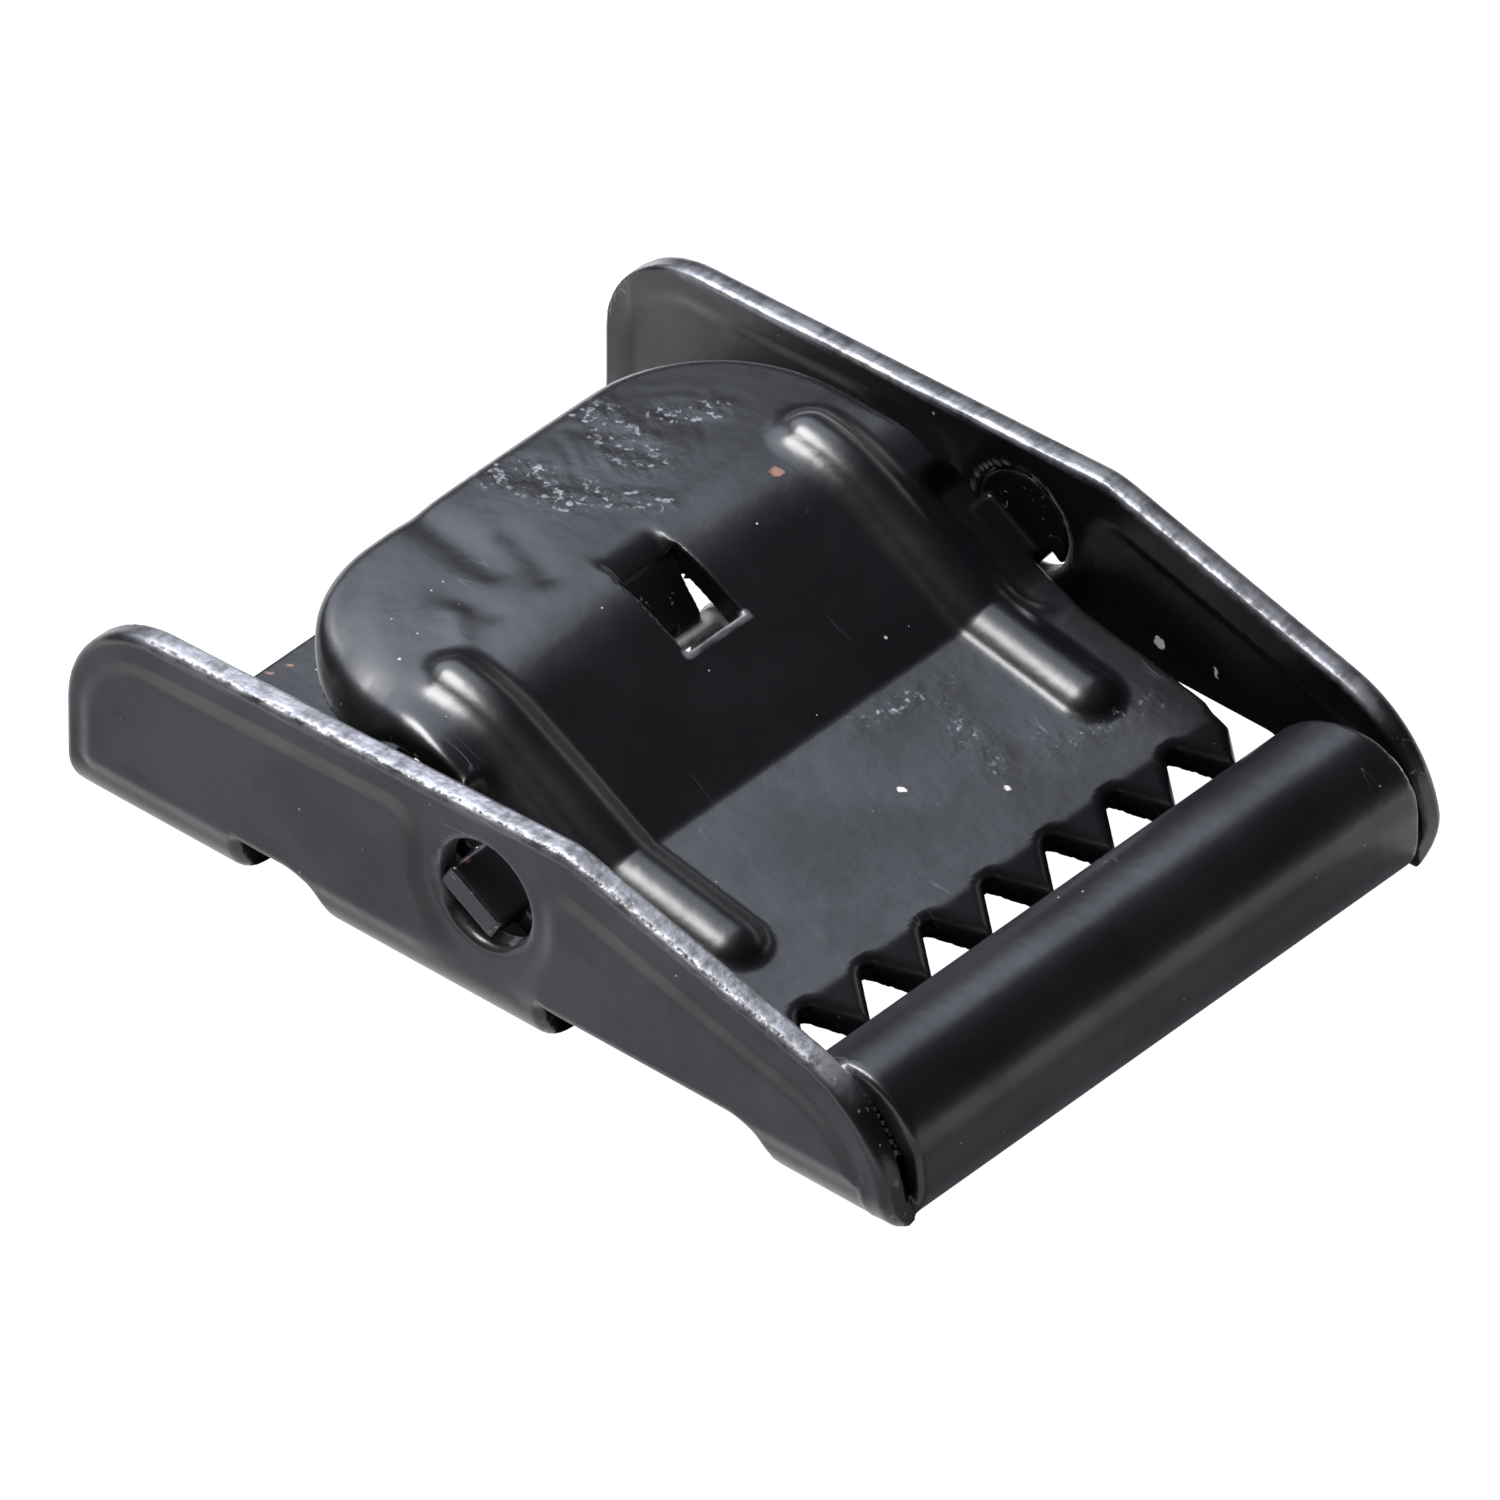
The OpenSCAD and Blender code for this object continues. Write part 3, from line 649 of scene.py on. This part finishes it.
CHANNEL_RUST = [(-19.2, -6.4, 1.2, 0.24), (-18.9, -5.6, 1.2, 0.16), (19.9, -15.6, 4.6, 0.3),
                (20.4, -15.3, 2.6, 0.3), (20.5, -15.6, 1.3, 0.25), (-0.9, -15.5, 7.6, 0.3)]
LEVER_RUST = [(-5.7, 7.5, 9.75, 0.42), (-1.4, -15.2, 6.6, 0.5), (0.06, 15.2, 4.6, 0.4)]
CHANNEL_FLECKS = [(7.1, 14.95, 3.8, 0.42), (9.9, 14.95, 3.8, 0.24)]
LEVER_FLECKS = [(6.5, 0.8, 4.7, 0.24), (0.4, 11.9, 6.3, 0.22), (9.0, 4.0, 4.15, 0.18)]

# worn areas of the lever: run and y of both ends, reach, strength
SCUFFS = [(-0.2, 0.0, 4.2, 0.8, 1.2, 1), (1.5, 5.2, 4.7, 4.4, 1.1, 1), (3.3, 6.8, 4.6, 8.7, 0.6, 1),
          (4.5, 1.0, 6.8, 2.9, 0.6, 1), (19.9, 5.3, 24.1, 4.5, 0.8, 0.55),
          (18.5, 2.0, 19.5, 6.5, 0.8, 0.5), (24.4, 7.0, 25.2, 12.0, 0.7, 0.5),
          (15.5, 13.2, 17.8, 13.4, 0.5, 0.6), (2.0, -9.5, 6.0, -8.5, 1.0, 0.4)]


def spots(x, y, z, rows):
    """1 in the middle of a spot, 0 from its reach on."""
    best = np.zeros(x.shape)
    for a, b, c, reach in rows:
        best = np.maximum(best, 1 - np.sqrt((x - a) ** 2 + (y - b) ** 2 + (z - c) ** 2) / reach)
    return np.maximum(best, 0)


def far_hole_painted_shade(x, y, z):
    """Painted shade round the far hole, on the inside: the mask that takes the gloss down there."""
    near_hole = 1 - smooth(0.6, 1.2, hole_distance(x, z))
    return near_hole * smooth(INNER_W - 1.8, INNER_W - 1.2, y) * (y < INNER_W + 0.6)


def channel_masks(x, y, z):
    """Bare metal on the walls' sheared top edges; the far wall's outer half gets less gloss and
    reads darker instead, and round the far hole the gloss is taken down as painted shade.
    """
    cut, from_hole = channel_cut(x, y, z), hole_distance(x, z)
    across = channel_sheet(x, y, z) / (SHEET / 2)  # -1 on the inside of the sheet, 1 on the outside
    sheared = smooth(-0.3, -0.05, cut)
    wall = 1 - (bar_section(x, z) < 0.2) * (np.abs(y) < INNER_W - 0.1)
    top = sheared * smooth(4.5, 6.5, z) * smooth(-18.5, -16, x) * (1 - smooth(15.5, 19, x))
    top = top * (1 - 0.8 * (y > 0) * smooth(-0.5, 0.2, across))
    low_side = smooth(-1, 0.2, HOLE_R * 0.4 - z + PIVOT[1])
    hole = sheared * (1 - smooth(0.1, 0.3, from_hole)) * low_side
    outer = 0.6 * sheared * (y > 0) * (z > 4) * smooth(-0.3, 0.3, across)
    # the last mask takes the gloss down: painted shade round the far hole, and the far wall's
    # darker outer band
    return {"worn": wall * top * (1 - smooth(0.2, 0.4, 0.3 - from_hole)) + 0.12 * hole,
            "across": across, "edge": wall * smooth(-0.45, -0.1, cut), "scuff": np.zeros(cut.shape),
            "rust": spots(x, y, z, CHANNEL_RUST), "fleck": spots(x, y, z, CHANNEL_FLECKS),
            "dull_and_painted_shade": np.maximum(far_hole_painted_shade(x, y, z), outer)}


def lever_masks(x, y, z):
    """Scuffs on the top and a bare front edge in the lance hole."""
    s, height = unroll(x, z)
    cut = lever_cut(s, y)
    scuff = np.zeros(s.shape)
    for a, b, c, d, reach, strength in SCUFFS:
        near = line_distance(s, y, (a, b), (c, d))
        scuff = np.maximum(scuff, strength * (1 - smooth(0.1 * reach, 1.9 * reach, near)))
    lance = smooth(12.4, 12.6, s) * (1 - smooth(12.75, 12.95, s)) * (np.abs(y) < LANCE_HALF + 0.2)
    return {"worn": 0.6 * lance * smooth(-0.5, 0, height), "across": np.zeros(s.shape),
            "edge": smooth(-0.4, -0.1, cut), "scuff": scuff * smooth(-0.8, -0.2, height),
            "rust": spots(x, y, z, LEVER_RUST), "fleck": spots(x, y, z, LEVER_FLECKS),
            # painted shade round the far hole: the gloss is taken down there
            "dull_and_painted_shade": 0.9 * far_hole_painted_shade(x, y, z)}


# Materials

class Finish:
    """A procedural material. Its textures lie in the piece's own millimetres."""

    def __init__(self, name):
        self.mat = bpy.data.materials.new(name)
        self.mat.use_nodes = True
        self.tree = self.mat.node_tree
        self.shader = self.tree.nodes["Principled BSDF"]
        place = self.tree.nodes.new("ShaderNodeTexCoord")
        self.place = self.scaled(place.outputs["Object"], 1 / MM)

    def feed(self, socket, value):
        if isinstance(value, bpy.types.NodeSocket):
            self.tree.links.new(value, socket)
        else:
            socket.default_value = value

    def set(self, name, value):
        self.feed(self.shader.inputs[name], value)

    def scaled(self, vector, factor, move=0.0):
        node = self.tree.nodes.new("ShaderNodeVectorMath")
        node.operation = "MULTIPLY_ADD"
        self.feed(node.inputs[0], vector)
        node.inputs[1].default_value = (factor,) * 3 if isinstance(factor, float) else factor
        node.inputs[2].default_value = (17.3 * move, 9.1 * move, -13.7 * move)
        return node.outputs[0]

    def mask(self, name):
        node = self.tree.nodes.new("ShaderNodeAttribute")
        node.attribute_name = name
        return node.outputs["Fac"]

    def math(self, operation, a, b=0.0, clamp=False):
        node = self.tree.nodes.new("ShaderNodeMath")
        node.operation, node.use_clamp = operation, clamp
        self.feed(node.inputs[0], a)
        self.feed(node.inputs[1], b)
        return node.outputs[0]

    def times(self, a, b):
        return self.math("MULTIPLY", a, b)

    def plus(self, a, b):
        return self.math("ADD", a, b)

    def minus(self, a, b):
        return self.math("SUBTRACT", a, b)

    def most(self, a, b):
        return self.math("MAXIMUM", a, b)

    def off(self, a, middle):
        """How far a is from a middle value, either way."""
        return self.math("ABSOLUTE", self.minus(a, middle))

    def step(self, value, low, high, start=0.0, end=1.0):
        """Soft step from start, at low, to end, at high."""
        node = self.tree.nodes.new("ShaderNodeMapRange")
        node.interpolation_type = "SMOOTHSTEP"
        for socket, number in zip(node.inputs, (value, low, high, start, end)):
            self.feed(socket, number)
        return node.outputs[0]

    def noise(self, size, detail, stretch=(1, 1, 1), move=0.0, distortion=0.0):
        node = self.tree.nodes.new("ShaderNodeTexNoise")
        place = self.scaled(self.place, tuple(1 / k for k in stretch), move)
        self.feed(node.inputs["Vector"], place)
        node.inputs["Scale"].default_value = 1 / size
        node.inputs["Detail"].default_value = detail
        node.inputs["Distortion"].default_value = distortion
        return node.outputs["Fac"]

    def specks(self, size, radius, share, move=0.0):
        """Small dots, in a share of the cells of a given size."""
        node = self.tree.nodes.new("ShaderNodeTexVoronoi")
        node.inputs["Scale"].default_value = 1 / size
        self.feed(node.inputs["Vector"], self.scaled(self.place, 1.0, move))
        chosen = self.tree.nodes.new("ShaderNodeSeparateColor")
        self.feed(chosen.inputs[0], node.outputs["Color"])
        reach = self.times(self.step(chosen.outputs[0], 1 - share, 1.0), radius / size)
        return self.step(self.minus(reach, node.outputs["Distance"]), 0.0, 0.3 * radius / size)

    def mix(self, factor, a, b):
        node = self.tree.nodes.new("ShaderNodeMix")
        node.data_type = "RGBA"
        self.feed(node.inputs[0], factor)
        self.feed(node.inputs[6], a)
        self.feed(node.inputs[7], b)
        return node.outputs[2]

    def bump(self, height, distance):
        node = self.tree.nodes.new("ShaderNodeBump")
        node.inputs["Strength"].default_value = 1.0
        node.inputs["Distance"].default_value = distance * MM
        self.feed(node.inputs["Height"], height)
        return node.outputs[0]

    def axis(self, number):
        """The place along one axis, in the piece's own millimetres."""
        node = self.tree.nodes.new("ShaderNodeSeparateXYZ")
        self.feed(node.inputs[0], self.place)
        return node.outputs[number]


# colours: a pair where noise mixes the two
PAINT = (0.0012, 0.0011, 0.0016, 1), (0.003, 0.0028, 0.004, 1)
STEEL = (0.08, 0.08, 0.086, 1), (0.28, 0.28, 0.305, 1)
RUST = (0.20, 0.10, 0.07, 1), (0.07, 0.03, 0.02, 1)
DUST = (0.36, 0.35, 0.33, 1)
HAIRLINE = (0.12, 0.12, 0.13, 1)
WIRE = (0.6, 0.6, 0.6, 1), (0.88, 0.88, 0.88, 1)
WIRE_STAIN = (0.17, 0.08, 0.04, 1)
FLOOR = (0.07, 0.07, 0.072, 1), (0.08, 0.08, 0.08, 1)
FLOOR_GLOW = (1.0, 0.98, 1.02, 1)
CARD = (0.01, 0.01, 0.01, 1)
CARD_GLOW = (1.0, 0.96, 1.07, 1)


def worn_paint(name, move):
    """Gloss black paint with handling marks, chips and rust, and bare metal on sheared edges."""
    f = Finish(name)
    worn, across, edge, scuff, rust, fleck, dull_and_painted_shade = (
        f.mask(m) for m in ("worn", "across", "edge", "scuff", "rust", "fleck", "dull_and_painted_shade"))
    cloud = f.noise(4.5, 2.0, move=move)
    grain = f.noise(0.3, 3.0, move=move)
    patch = f.noise(1.1, 2.0, move=move + 1)
    rough_grain = f.minus(grain, 0.5)

    # bare metal of the sheared edges: blotches and streaks, and a thin dark line of paint near the
    # outside
    streak = f.noise(0.3, 2.0, stretch=(0.8, 2.2, 2.2), move=move)
    blotch = f.plus(f.times(streak, 0.45), f.times(patch, 0.75))
    bare = f.times(worn, f.step(blotch, 0.38, 0.7, 0.3, 1.0))
    bare = f.times(bare, f.step(across, 0.5, 1.0, 1.0, 0.35))
    wobble = f.plus(across, f.times(f.minus(patch, 0.5), 0.5))
    dark_line = f.step(f.off(wobble, 0.62), 0.04, 0.16, 1.0, 0.0)
    dark_line = f.times(f.times(dark_line, worn), f.step(streak, 0.4, 0.55))

    # chips in the paint, and nicks along the edges
    scuffed = f.times(scuff, patch)
    chips = f.times(f.step(grain, 0.56, 0.68), f.step(scuffed, 0.2, 0.4))
    flakes = f.times(f.specks(0.5, 0.2, 0.6, move + 3), f.step(scuffed, 0.24, 0.4))
    chips = f.most(chips, f.times(flakes, f.step(grain, 0.4, 0.5)))
    nicks = f.times(f.step(grain, 0.62, 0.68), f.step(f.times(edge, patch), 0.56, 0.64))

    # specks of dust, and a few larger flecks
    dust = f.most(f.specks(1.4, 0.09, 0.12, move), f.specks(0.65, 0.055, 0.2, move + 1))
    flecks = f.step(f.plus(fleck, f.times(rough_grain, 0.8)), 0.25, 0.4)
    flecks = f.times(flecks, f.step(fleck, 0.02, 0.1))
    dust = f.most(f.times(dust, 0.7), flecks)

    # hair scratches
    line = f.noise(0.9, 1.0, stretch=(14, 1.2, 3), move=move + 5, distortion=0.15)
    scratch = f.step(f.off(line, 0.5), 0.0015, 0.006, 1.0, 0.0)
    scratch = f.times(scratch, f.step(f.noise(3.4, 1.0, move=move + 7), 0.62, 0.74))

    metal = f.math("MAXIMUM", bare, f.times(f.most(chips, nicks), 0.75), clamp=True)
    metal = f.times(metal, f.minus(1.0, dark_line))
    rusty = f.step(f.plus(rust, f.times(rough_grain, 0.9)), 0.3, 0.5)
    rusty = f.times(rusty, f.step(rust, 0.02, 0.1))
    color = f.mix(metal, f.mix(cloud, *PAINT), f.mix(blotch, *STEEL))
    color = f.mix(dust, color, DUST)
    color = f.mix(f.times(scratch, 0.3), color, HAIRLINE)
    f.set("Base Color", f.mix(rusty, color, f.mix(grain, *RUST)))
    f.set("Metallic", f.times(metal, f.minus(1.0, rusty)))
    rough = f.plus(f.times(cloud, 0.14), f.times(grain, 0.06))
    rough = f.plus(0.30, f.plus(rough, f.times(metal, 0.14)))
    f.set("Roughness", f.math("ADD", rough, f.times(scuff, 0.06), clamp=True))
    f.set("Specular IOR Level", 0.12)
    coat = f.step(f.plus(cloud, f.times(patch, 0.25)), 0.42, 0.84, 0.50, 0.74)
    # the coat is taken down where that mask asks: painted shade round the far hole, and a darker
    # far outer band
    f.set("Coat Weight", f.times(coat, f.minus(1.0, f.times(dull_and_painted_shade, 0.85))))
    f.set("Coat Roughness", 0.29)

    lumps = f.noise(0.8, 3.0, move=move + 9)
    hurt = f.plus(f.times(scuff, 0.8), f.plus(f.times(worn, 1.4), 0.3))
    normal = f.bump(f.times(lumps, hurt), 0.05)
    f.set("Normal", normal)
    f.set("Coat Normal", normal)
    return f.mat


def drawn_wire(name):
    """Bare drawn wire: fine lines, darker in places, with a little rust."""
    f = Finish(name)
    lines = f.noise(0.12, 2.0, stretch=(3, 1, 1))
    stain = f.step(f.noise(1.6, 3.0, move=4.0), 0.66, 0.8)
    f.set("Base Color", f.mix(f.times(stain, 0.7), f.mix(lines, *WIRE), WIRE_STAIN))
    f.set("Metallic", f.step(stain, 0.0, 1.0, 0.45, 0.3))
    f.set("Roughness", f.plus(f.times(lines, 0.2), f.plus(0.24, f.times(stain, 0.25))))
    f.set("Normal", f.bump(lines, 0.02))
    return f.mat


def pale_floor(name):
    """Pale table that glows, as if lit from below, faintly uneven, though dark in itself. Its glow
    is painted light that grows away from the part, so the floor close to the part reads as shaded.
    """
    f = Finish(name)
    cloud = f.noise(60.0, 2.0)
    f.set("Base Color", f.mix(cloud, *FLOOR))
    f.set("Roughness", f.step(cloud, 0.3, 0.7, 0.8, 0.95))
    f.set("Emission Color", FLOOR_GLOW)
    # painted light: the glow grows away from the part, leaving painted shade near it
    f.set("Emission Strength", f.step(f.math("ABSOLUTE", f.axis(1)), 29.0, 40.0, 1.05, 2.6))
    return f.mat


def dark_card(name):
    """Shade that only reflections see: black below the part, lighter from the bar's front on
    and beside the near wall."""
    f = Finish(name)
    f.set("Base Color", CARD)
    f.set("Roughness", 0.9)
    f.set("Emission Color", CARD_GLOW)
    before_bar = f.step(f.axis(0), 18.0, 23.0, 0.0, 0.36)
    beside_wall = f.step(f.axis(1), -17.0, -16.5, 0.9, 0.0)
    f.set("Emission Strength", f.most(before_bar, beside_wall))
    return f.mat


# Spring: a round wire swept along two coils, the bridge that joins them and two legs

WIRE_R = 0.45
WIRE_LIFT = 0.1  # gap between the base and the legs and coils
COIL_R = 2.1
COIL_C = np.array([-3.93, SHEET + WIRE_LIFT + WIRE_R + COIL_R])
BRIDGE = np.array([-4.48, 6.35])
COIL_Y = (6.2, 2.9)  # of the leg's end and the bridge's end of a coil
COIL_TURNS = 3
COIL_POINTS = 44  # in each turn
LEG_X = -7.73
BRIDGE_BEND = 0.9
WIRE_SIDES = 20
WIRE_ENDS = (0.55, 0.85)  # share of the wire's radius at the first rings of each end


def wire_half():
    """The middle line of the +Y half, from the end of its leg to the middle of the bridge."""
    to_bridge = BRIDGE - COIL_C
    reach = np.hypot(*to_bridge)
    leave = math.atan2(to_bridge[1], to_bridge[0]) - math.acos(COIL_R / reach)
    low = COIL_C[1] - COIL_R
    line = [(x, COIL_Y[0], low) for x in np.linspace(LEG_X, COIL_C[0] - 0.3, 12)]
    sweep = 2 * math.pi * COIL_TURNS + math.pi / 2 + leave
    for share in np.linspace(0, 1, COIL_POINTS * COIL_TURNS):
        a = -math.pi / 2 + sweep * share
        line.append((COIL_C[0] + COIL_R * math.cos(a), COIL_Y[0] + (COIL_Y[1] - COIL_Y[0]) * share,
                     COIL_C[1] + COIL_R * math.sin(a)))
    start = COIL_C + COIL_R * np.array([math.cos(leave), math.sin(leave)])
    length = math.sqrt(reach ** 2 - COIL_R ** 2)
    along = (BRIDGE - start) / length
    for q in np.linspace(0.2, length - BRIDGE_BEND, 5):
        line.append((start[0] + along[0] * q, COIL_Y[1], start[1] + along[1] * q))
    for a in np.radians(np.linspace(10, 90, 9)):
        q = length - BRIDGE_BEND + BRIDGE_BEND * math.sin(a)
        y = COIL_Y[1] - BRIDGE_BEND * (1 - math.cos(a))
        line.append((start[0] + along[0] * q, y, start[1] + along[1] * q))
    line += [(BRIDGE[0], y, BRIDGE[1]) for y in np.linspace(COIL_Y[1] - BRIDGE_BEND - 0.3, 0, 6)]
    return np.array(line)


def wire_piece(name):
    """Round tube along the wire's middle line, closed at both ends."""
    half = wire_half()
    line = np.concatenate([half, half[-2::-1] * (1, -1, 1)])
    tangent = np.gradient(line, axis=0)
    tangent /= np.linalg.norm(tangent, axis=1)[:, None]
    side = np.array([0.0, 0.0, 1.0])
    rings = []
    for i, (place, t) in enumerate(zip(line, tangent)):
        side = side - t * (side @ t)
        side /= np.linalg.norm(side)
        other = np.cross(t, side)
        k = min(i, len(line) - 1 - i)
        r = WIRE_R * (WIRE_ENDS[k] if k < len(WIRE_ENDS) else 1.0)
        rings.append([place + r * (math.cos(a) * side + math.sin(a) * other)
                      for a in np.linspace(0, 2 * math.pi, WIRE_SIDES, endpoint=False)])
    points = np.array(rings).reshape(-1, 3) * MM
    n, m = len(rings), WIRE_SIDES
    faces = [[i * m + k, i * m + (k + 1) % m, (i + 1) * m + (k + 1) % m, (i + 1) * m + k]
             for i in range(n - 1) for k in range(m)]
    faces += [list(range(m))[::-1], [(n - 1) * m + k for k in range(m)]]
    mesh = bpy.data.meshes.new(name)
    mesh.from_pydata(points.tolist(), [], faces)
    mesh.polygons.foreach_set("use_smooth", np.array([len(f) == 4 for f in faces]))
    mesh.update()
    return add_object(name, mesh)


ROOM = 0.6  # that the grids leave round a piece
BOSS_ROOM = (0, 0.8, 0)  # more room for the far boss and tab, which stand out
channel = metal_piece("channel", channel_field, channel_masks,
                      frame_low - ROOM, frame_high + ROOM, CHANNEL_STEP)
lever = metal_piece("cam_lever", lever_field, lever_masks,
                    lever_low - ROOM, lever_high + ROOM + BOSS_ROOM, LEVER_STEP)
wire = wire_piece("torsion_wire")
for piece, node, body, slot, mat in (
        (channel, "frame", "frame", "frame_paint", worn_paint("frame_paint", 0.0)),
        (lever, "lever", "lever", "lever_paint", worn_paint("lever_paint", 20.0)),
        (wire, "torsion_spring", "frame", "spring_wire", drawn_wire("spring_wire"))):
    piece.data.materials.append(mat)
    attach(piece, body)
    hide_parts(node)
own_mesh(wire)


# Floor, lights and camera

FRAME_PIXELS = 1500
FOCAL_PIXELS = 39543.6
SENSOR = 36
VIEW = (41.39, 38.03, 0.16)  # azimuth, elevation and roll, in degrees
VIEW_DISTANCE = 1500
VIEW_CENTRE = Vector((0.55, 0, 0))
VIEW_MOVE = (-0.74, 3.12)  # of the camera, to its right and up


def camera_axes(azimuth, elevation, roll):
    """The camera's right, up and back."""
    a, e, t = (math.radians(v) for v in (azimuth, elevation, roll))
    right = Vector((math.cos(a), math.sin(a), 0))
    back = Vector((math.cos(e) * math.sin(a), -math.cos(e) * math.cos(a), math.sin(e)))
    up = back.cross(right)
    return (right * math.cos(t) + up * math.sin(t), up * math.cos(t) - right * math.sin(t), back)


def add_camera():
    right, up, back = camera_axes(*VIEW)
    data = bpy.data.cameras.new("camera")
    data.sensor_width = SENSOR
    data.lens = SENSOR * FOCAL_PIXELS / FRAME_PIXELS
    data.clip_start, data.clip_end = 0.05, 20
    cam = add_object("camera", data)
    at = right * VIEW_MOVE[0] + up * VIEW_MOVE[1] + back * VIEW_DISTANCE + VIEW_CENTRE
    turned = Matrix((right, up, back)).transposed()
    cam.matrix_world = Matrix.Translation(at * MM) @ turned.to_4x4()
    bpy.context.scene.camera = cam


def add_sheets(name, boxes, height, mat):
    """Flat rectangles between lowest and highest corners, which are no part of the object."""
    points, faces = [], []
    for low, high in boxes:
        faces.append(range(len(points), len(points) + 4))
        points += [(low[0], low[1]), (high[0], low[1]), (high[0], high[1]), (low[0], high[1])]
    mesh = bpy.data.meshes.new(name)
    mesh.from_pydata([(x * MM, y * MM, height * MM) for x, y in points], [], faces)
    mesh.materials.append(mat)
    obj = add_object(name, mesh)
    return obj


def add_floor():
    add_sheets("floor", [((-3000, -3000), (3000, 3000))], 0, pale_floor("floor"))


def add_card():
    below = (REAR_X + 2.5, 1.2 - HALF_W), (FRONT_X + 9, HALF_W - 1)
    beside = (REAR_X - 15, -HALF_W - 14), (FRONT_X + 15, -HALF_W - 1.2)
    card = add_sheets("shade_card", [below, beside], 0.02, dark_card("shade_card"))
    card.visible_camera = False


def add_light(name, direction, distance, size, radiance, tint=(1, 1, 1), glossy=True, along=None):
    """Soft box that faces the part. Its radiance is what a perfect mirror shows of it, and along
    is the heading of its wide side."""
    data = bpy.data.lights.new(name, "AREA")
    data.shape, data.size, data.size_y = "RECTANGLE", size[0], size[1]
    data.energy = radiance * math.pi * size[0] * size[1]
    data.color = tint
    light = add_object(name, data)
    towards = Vector(direction).normalized()
    light.location = towards * distance
    light.rotation_mode = "QUATERNION"
    light.rotation_quaternion = towards.to_track_quat("Z", "Y")
    if along:
        wide = (Vector(along) - towards * towards.dot(Vector(along))).normalized()
        turned = Matrix((wide, towards.cross(wide), towards)).transposed()
        light.rotation_quaternion = turned.to_quaternion()
    light.visible_glossy = glossy


def add_world():
    world = bpy.data.worlds.new("studio")
    world.use_nodes = True
    background = world.node_tree.nodes["Background"]
    background.inputs["Color"].default_value = (0.9, 0.92, 1.0, 1)
    background.inputs["Strength"].default_value = 0.035
    bpy.context.scene.world = world


add_camera()
add_floor()
add_world()
add_card()
add_light("key", (-0.36, -0.2, 0.92), 0.6, (0.30, 0.26), 36)
add_light("rear_panel", (-0.585, 0.265, 0.77), 0.6, (0.68, 0.42), 4.3,
          tint=(0.80, 0.86, 1.0), along=(0.855, 0.358, 0.377))
add_light("backdrop", (0.02, 0.96, 0.30), 0.6, (0.5, 0.12), 1.4)
add_light("overhead", (0, 0, 1), 1.0, (2.2, 2.2), 0.5, glossy=False)
bpy.context.scene.view_settings.view_transform = "Standard"
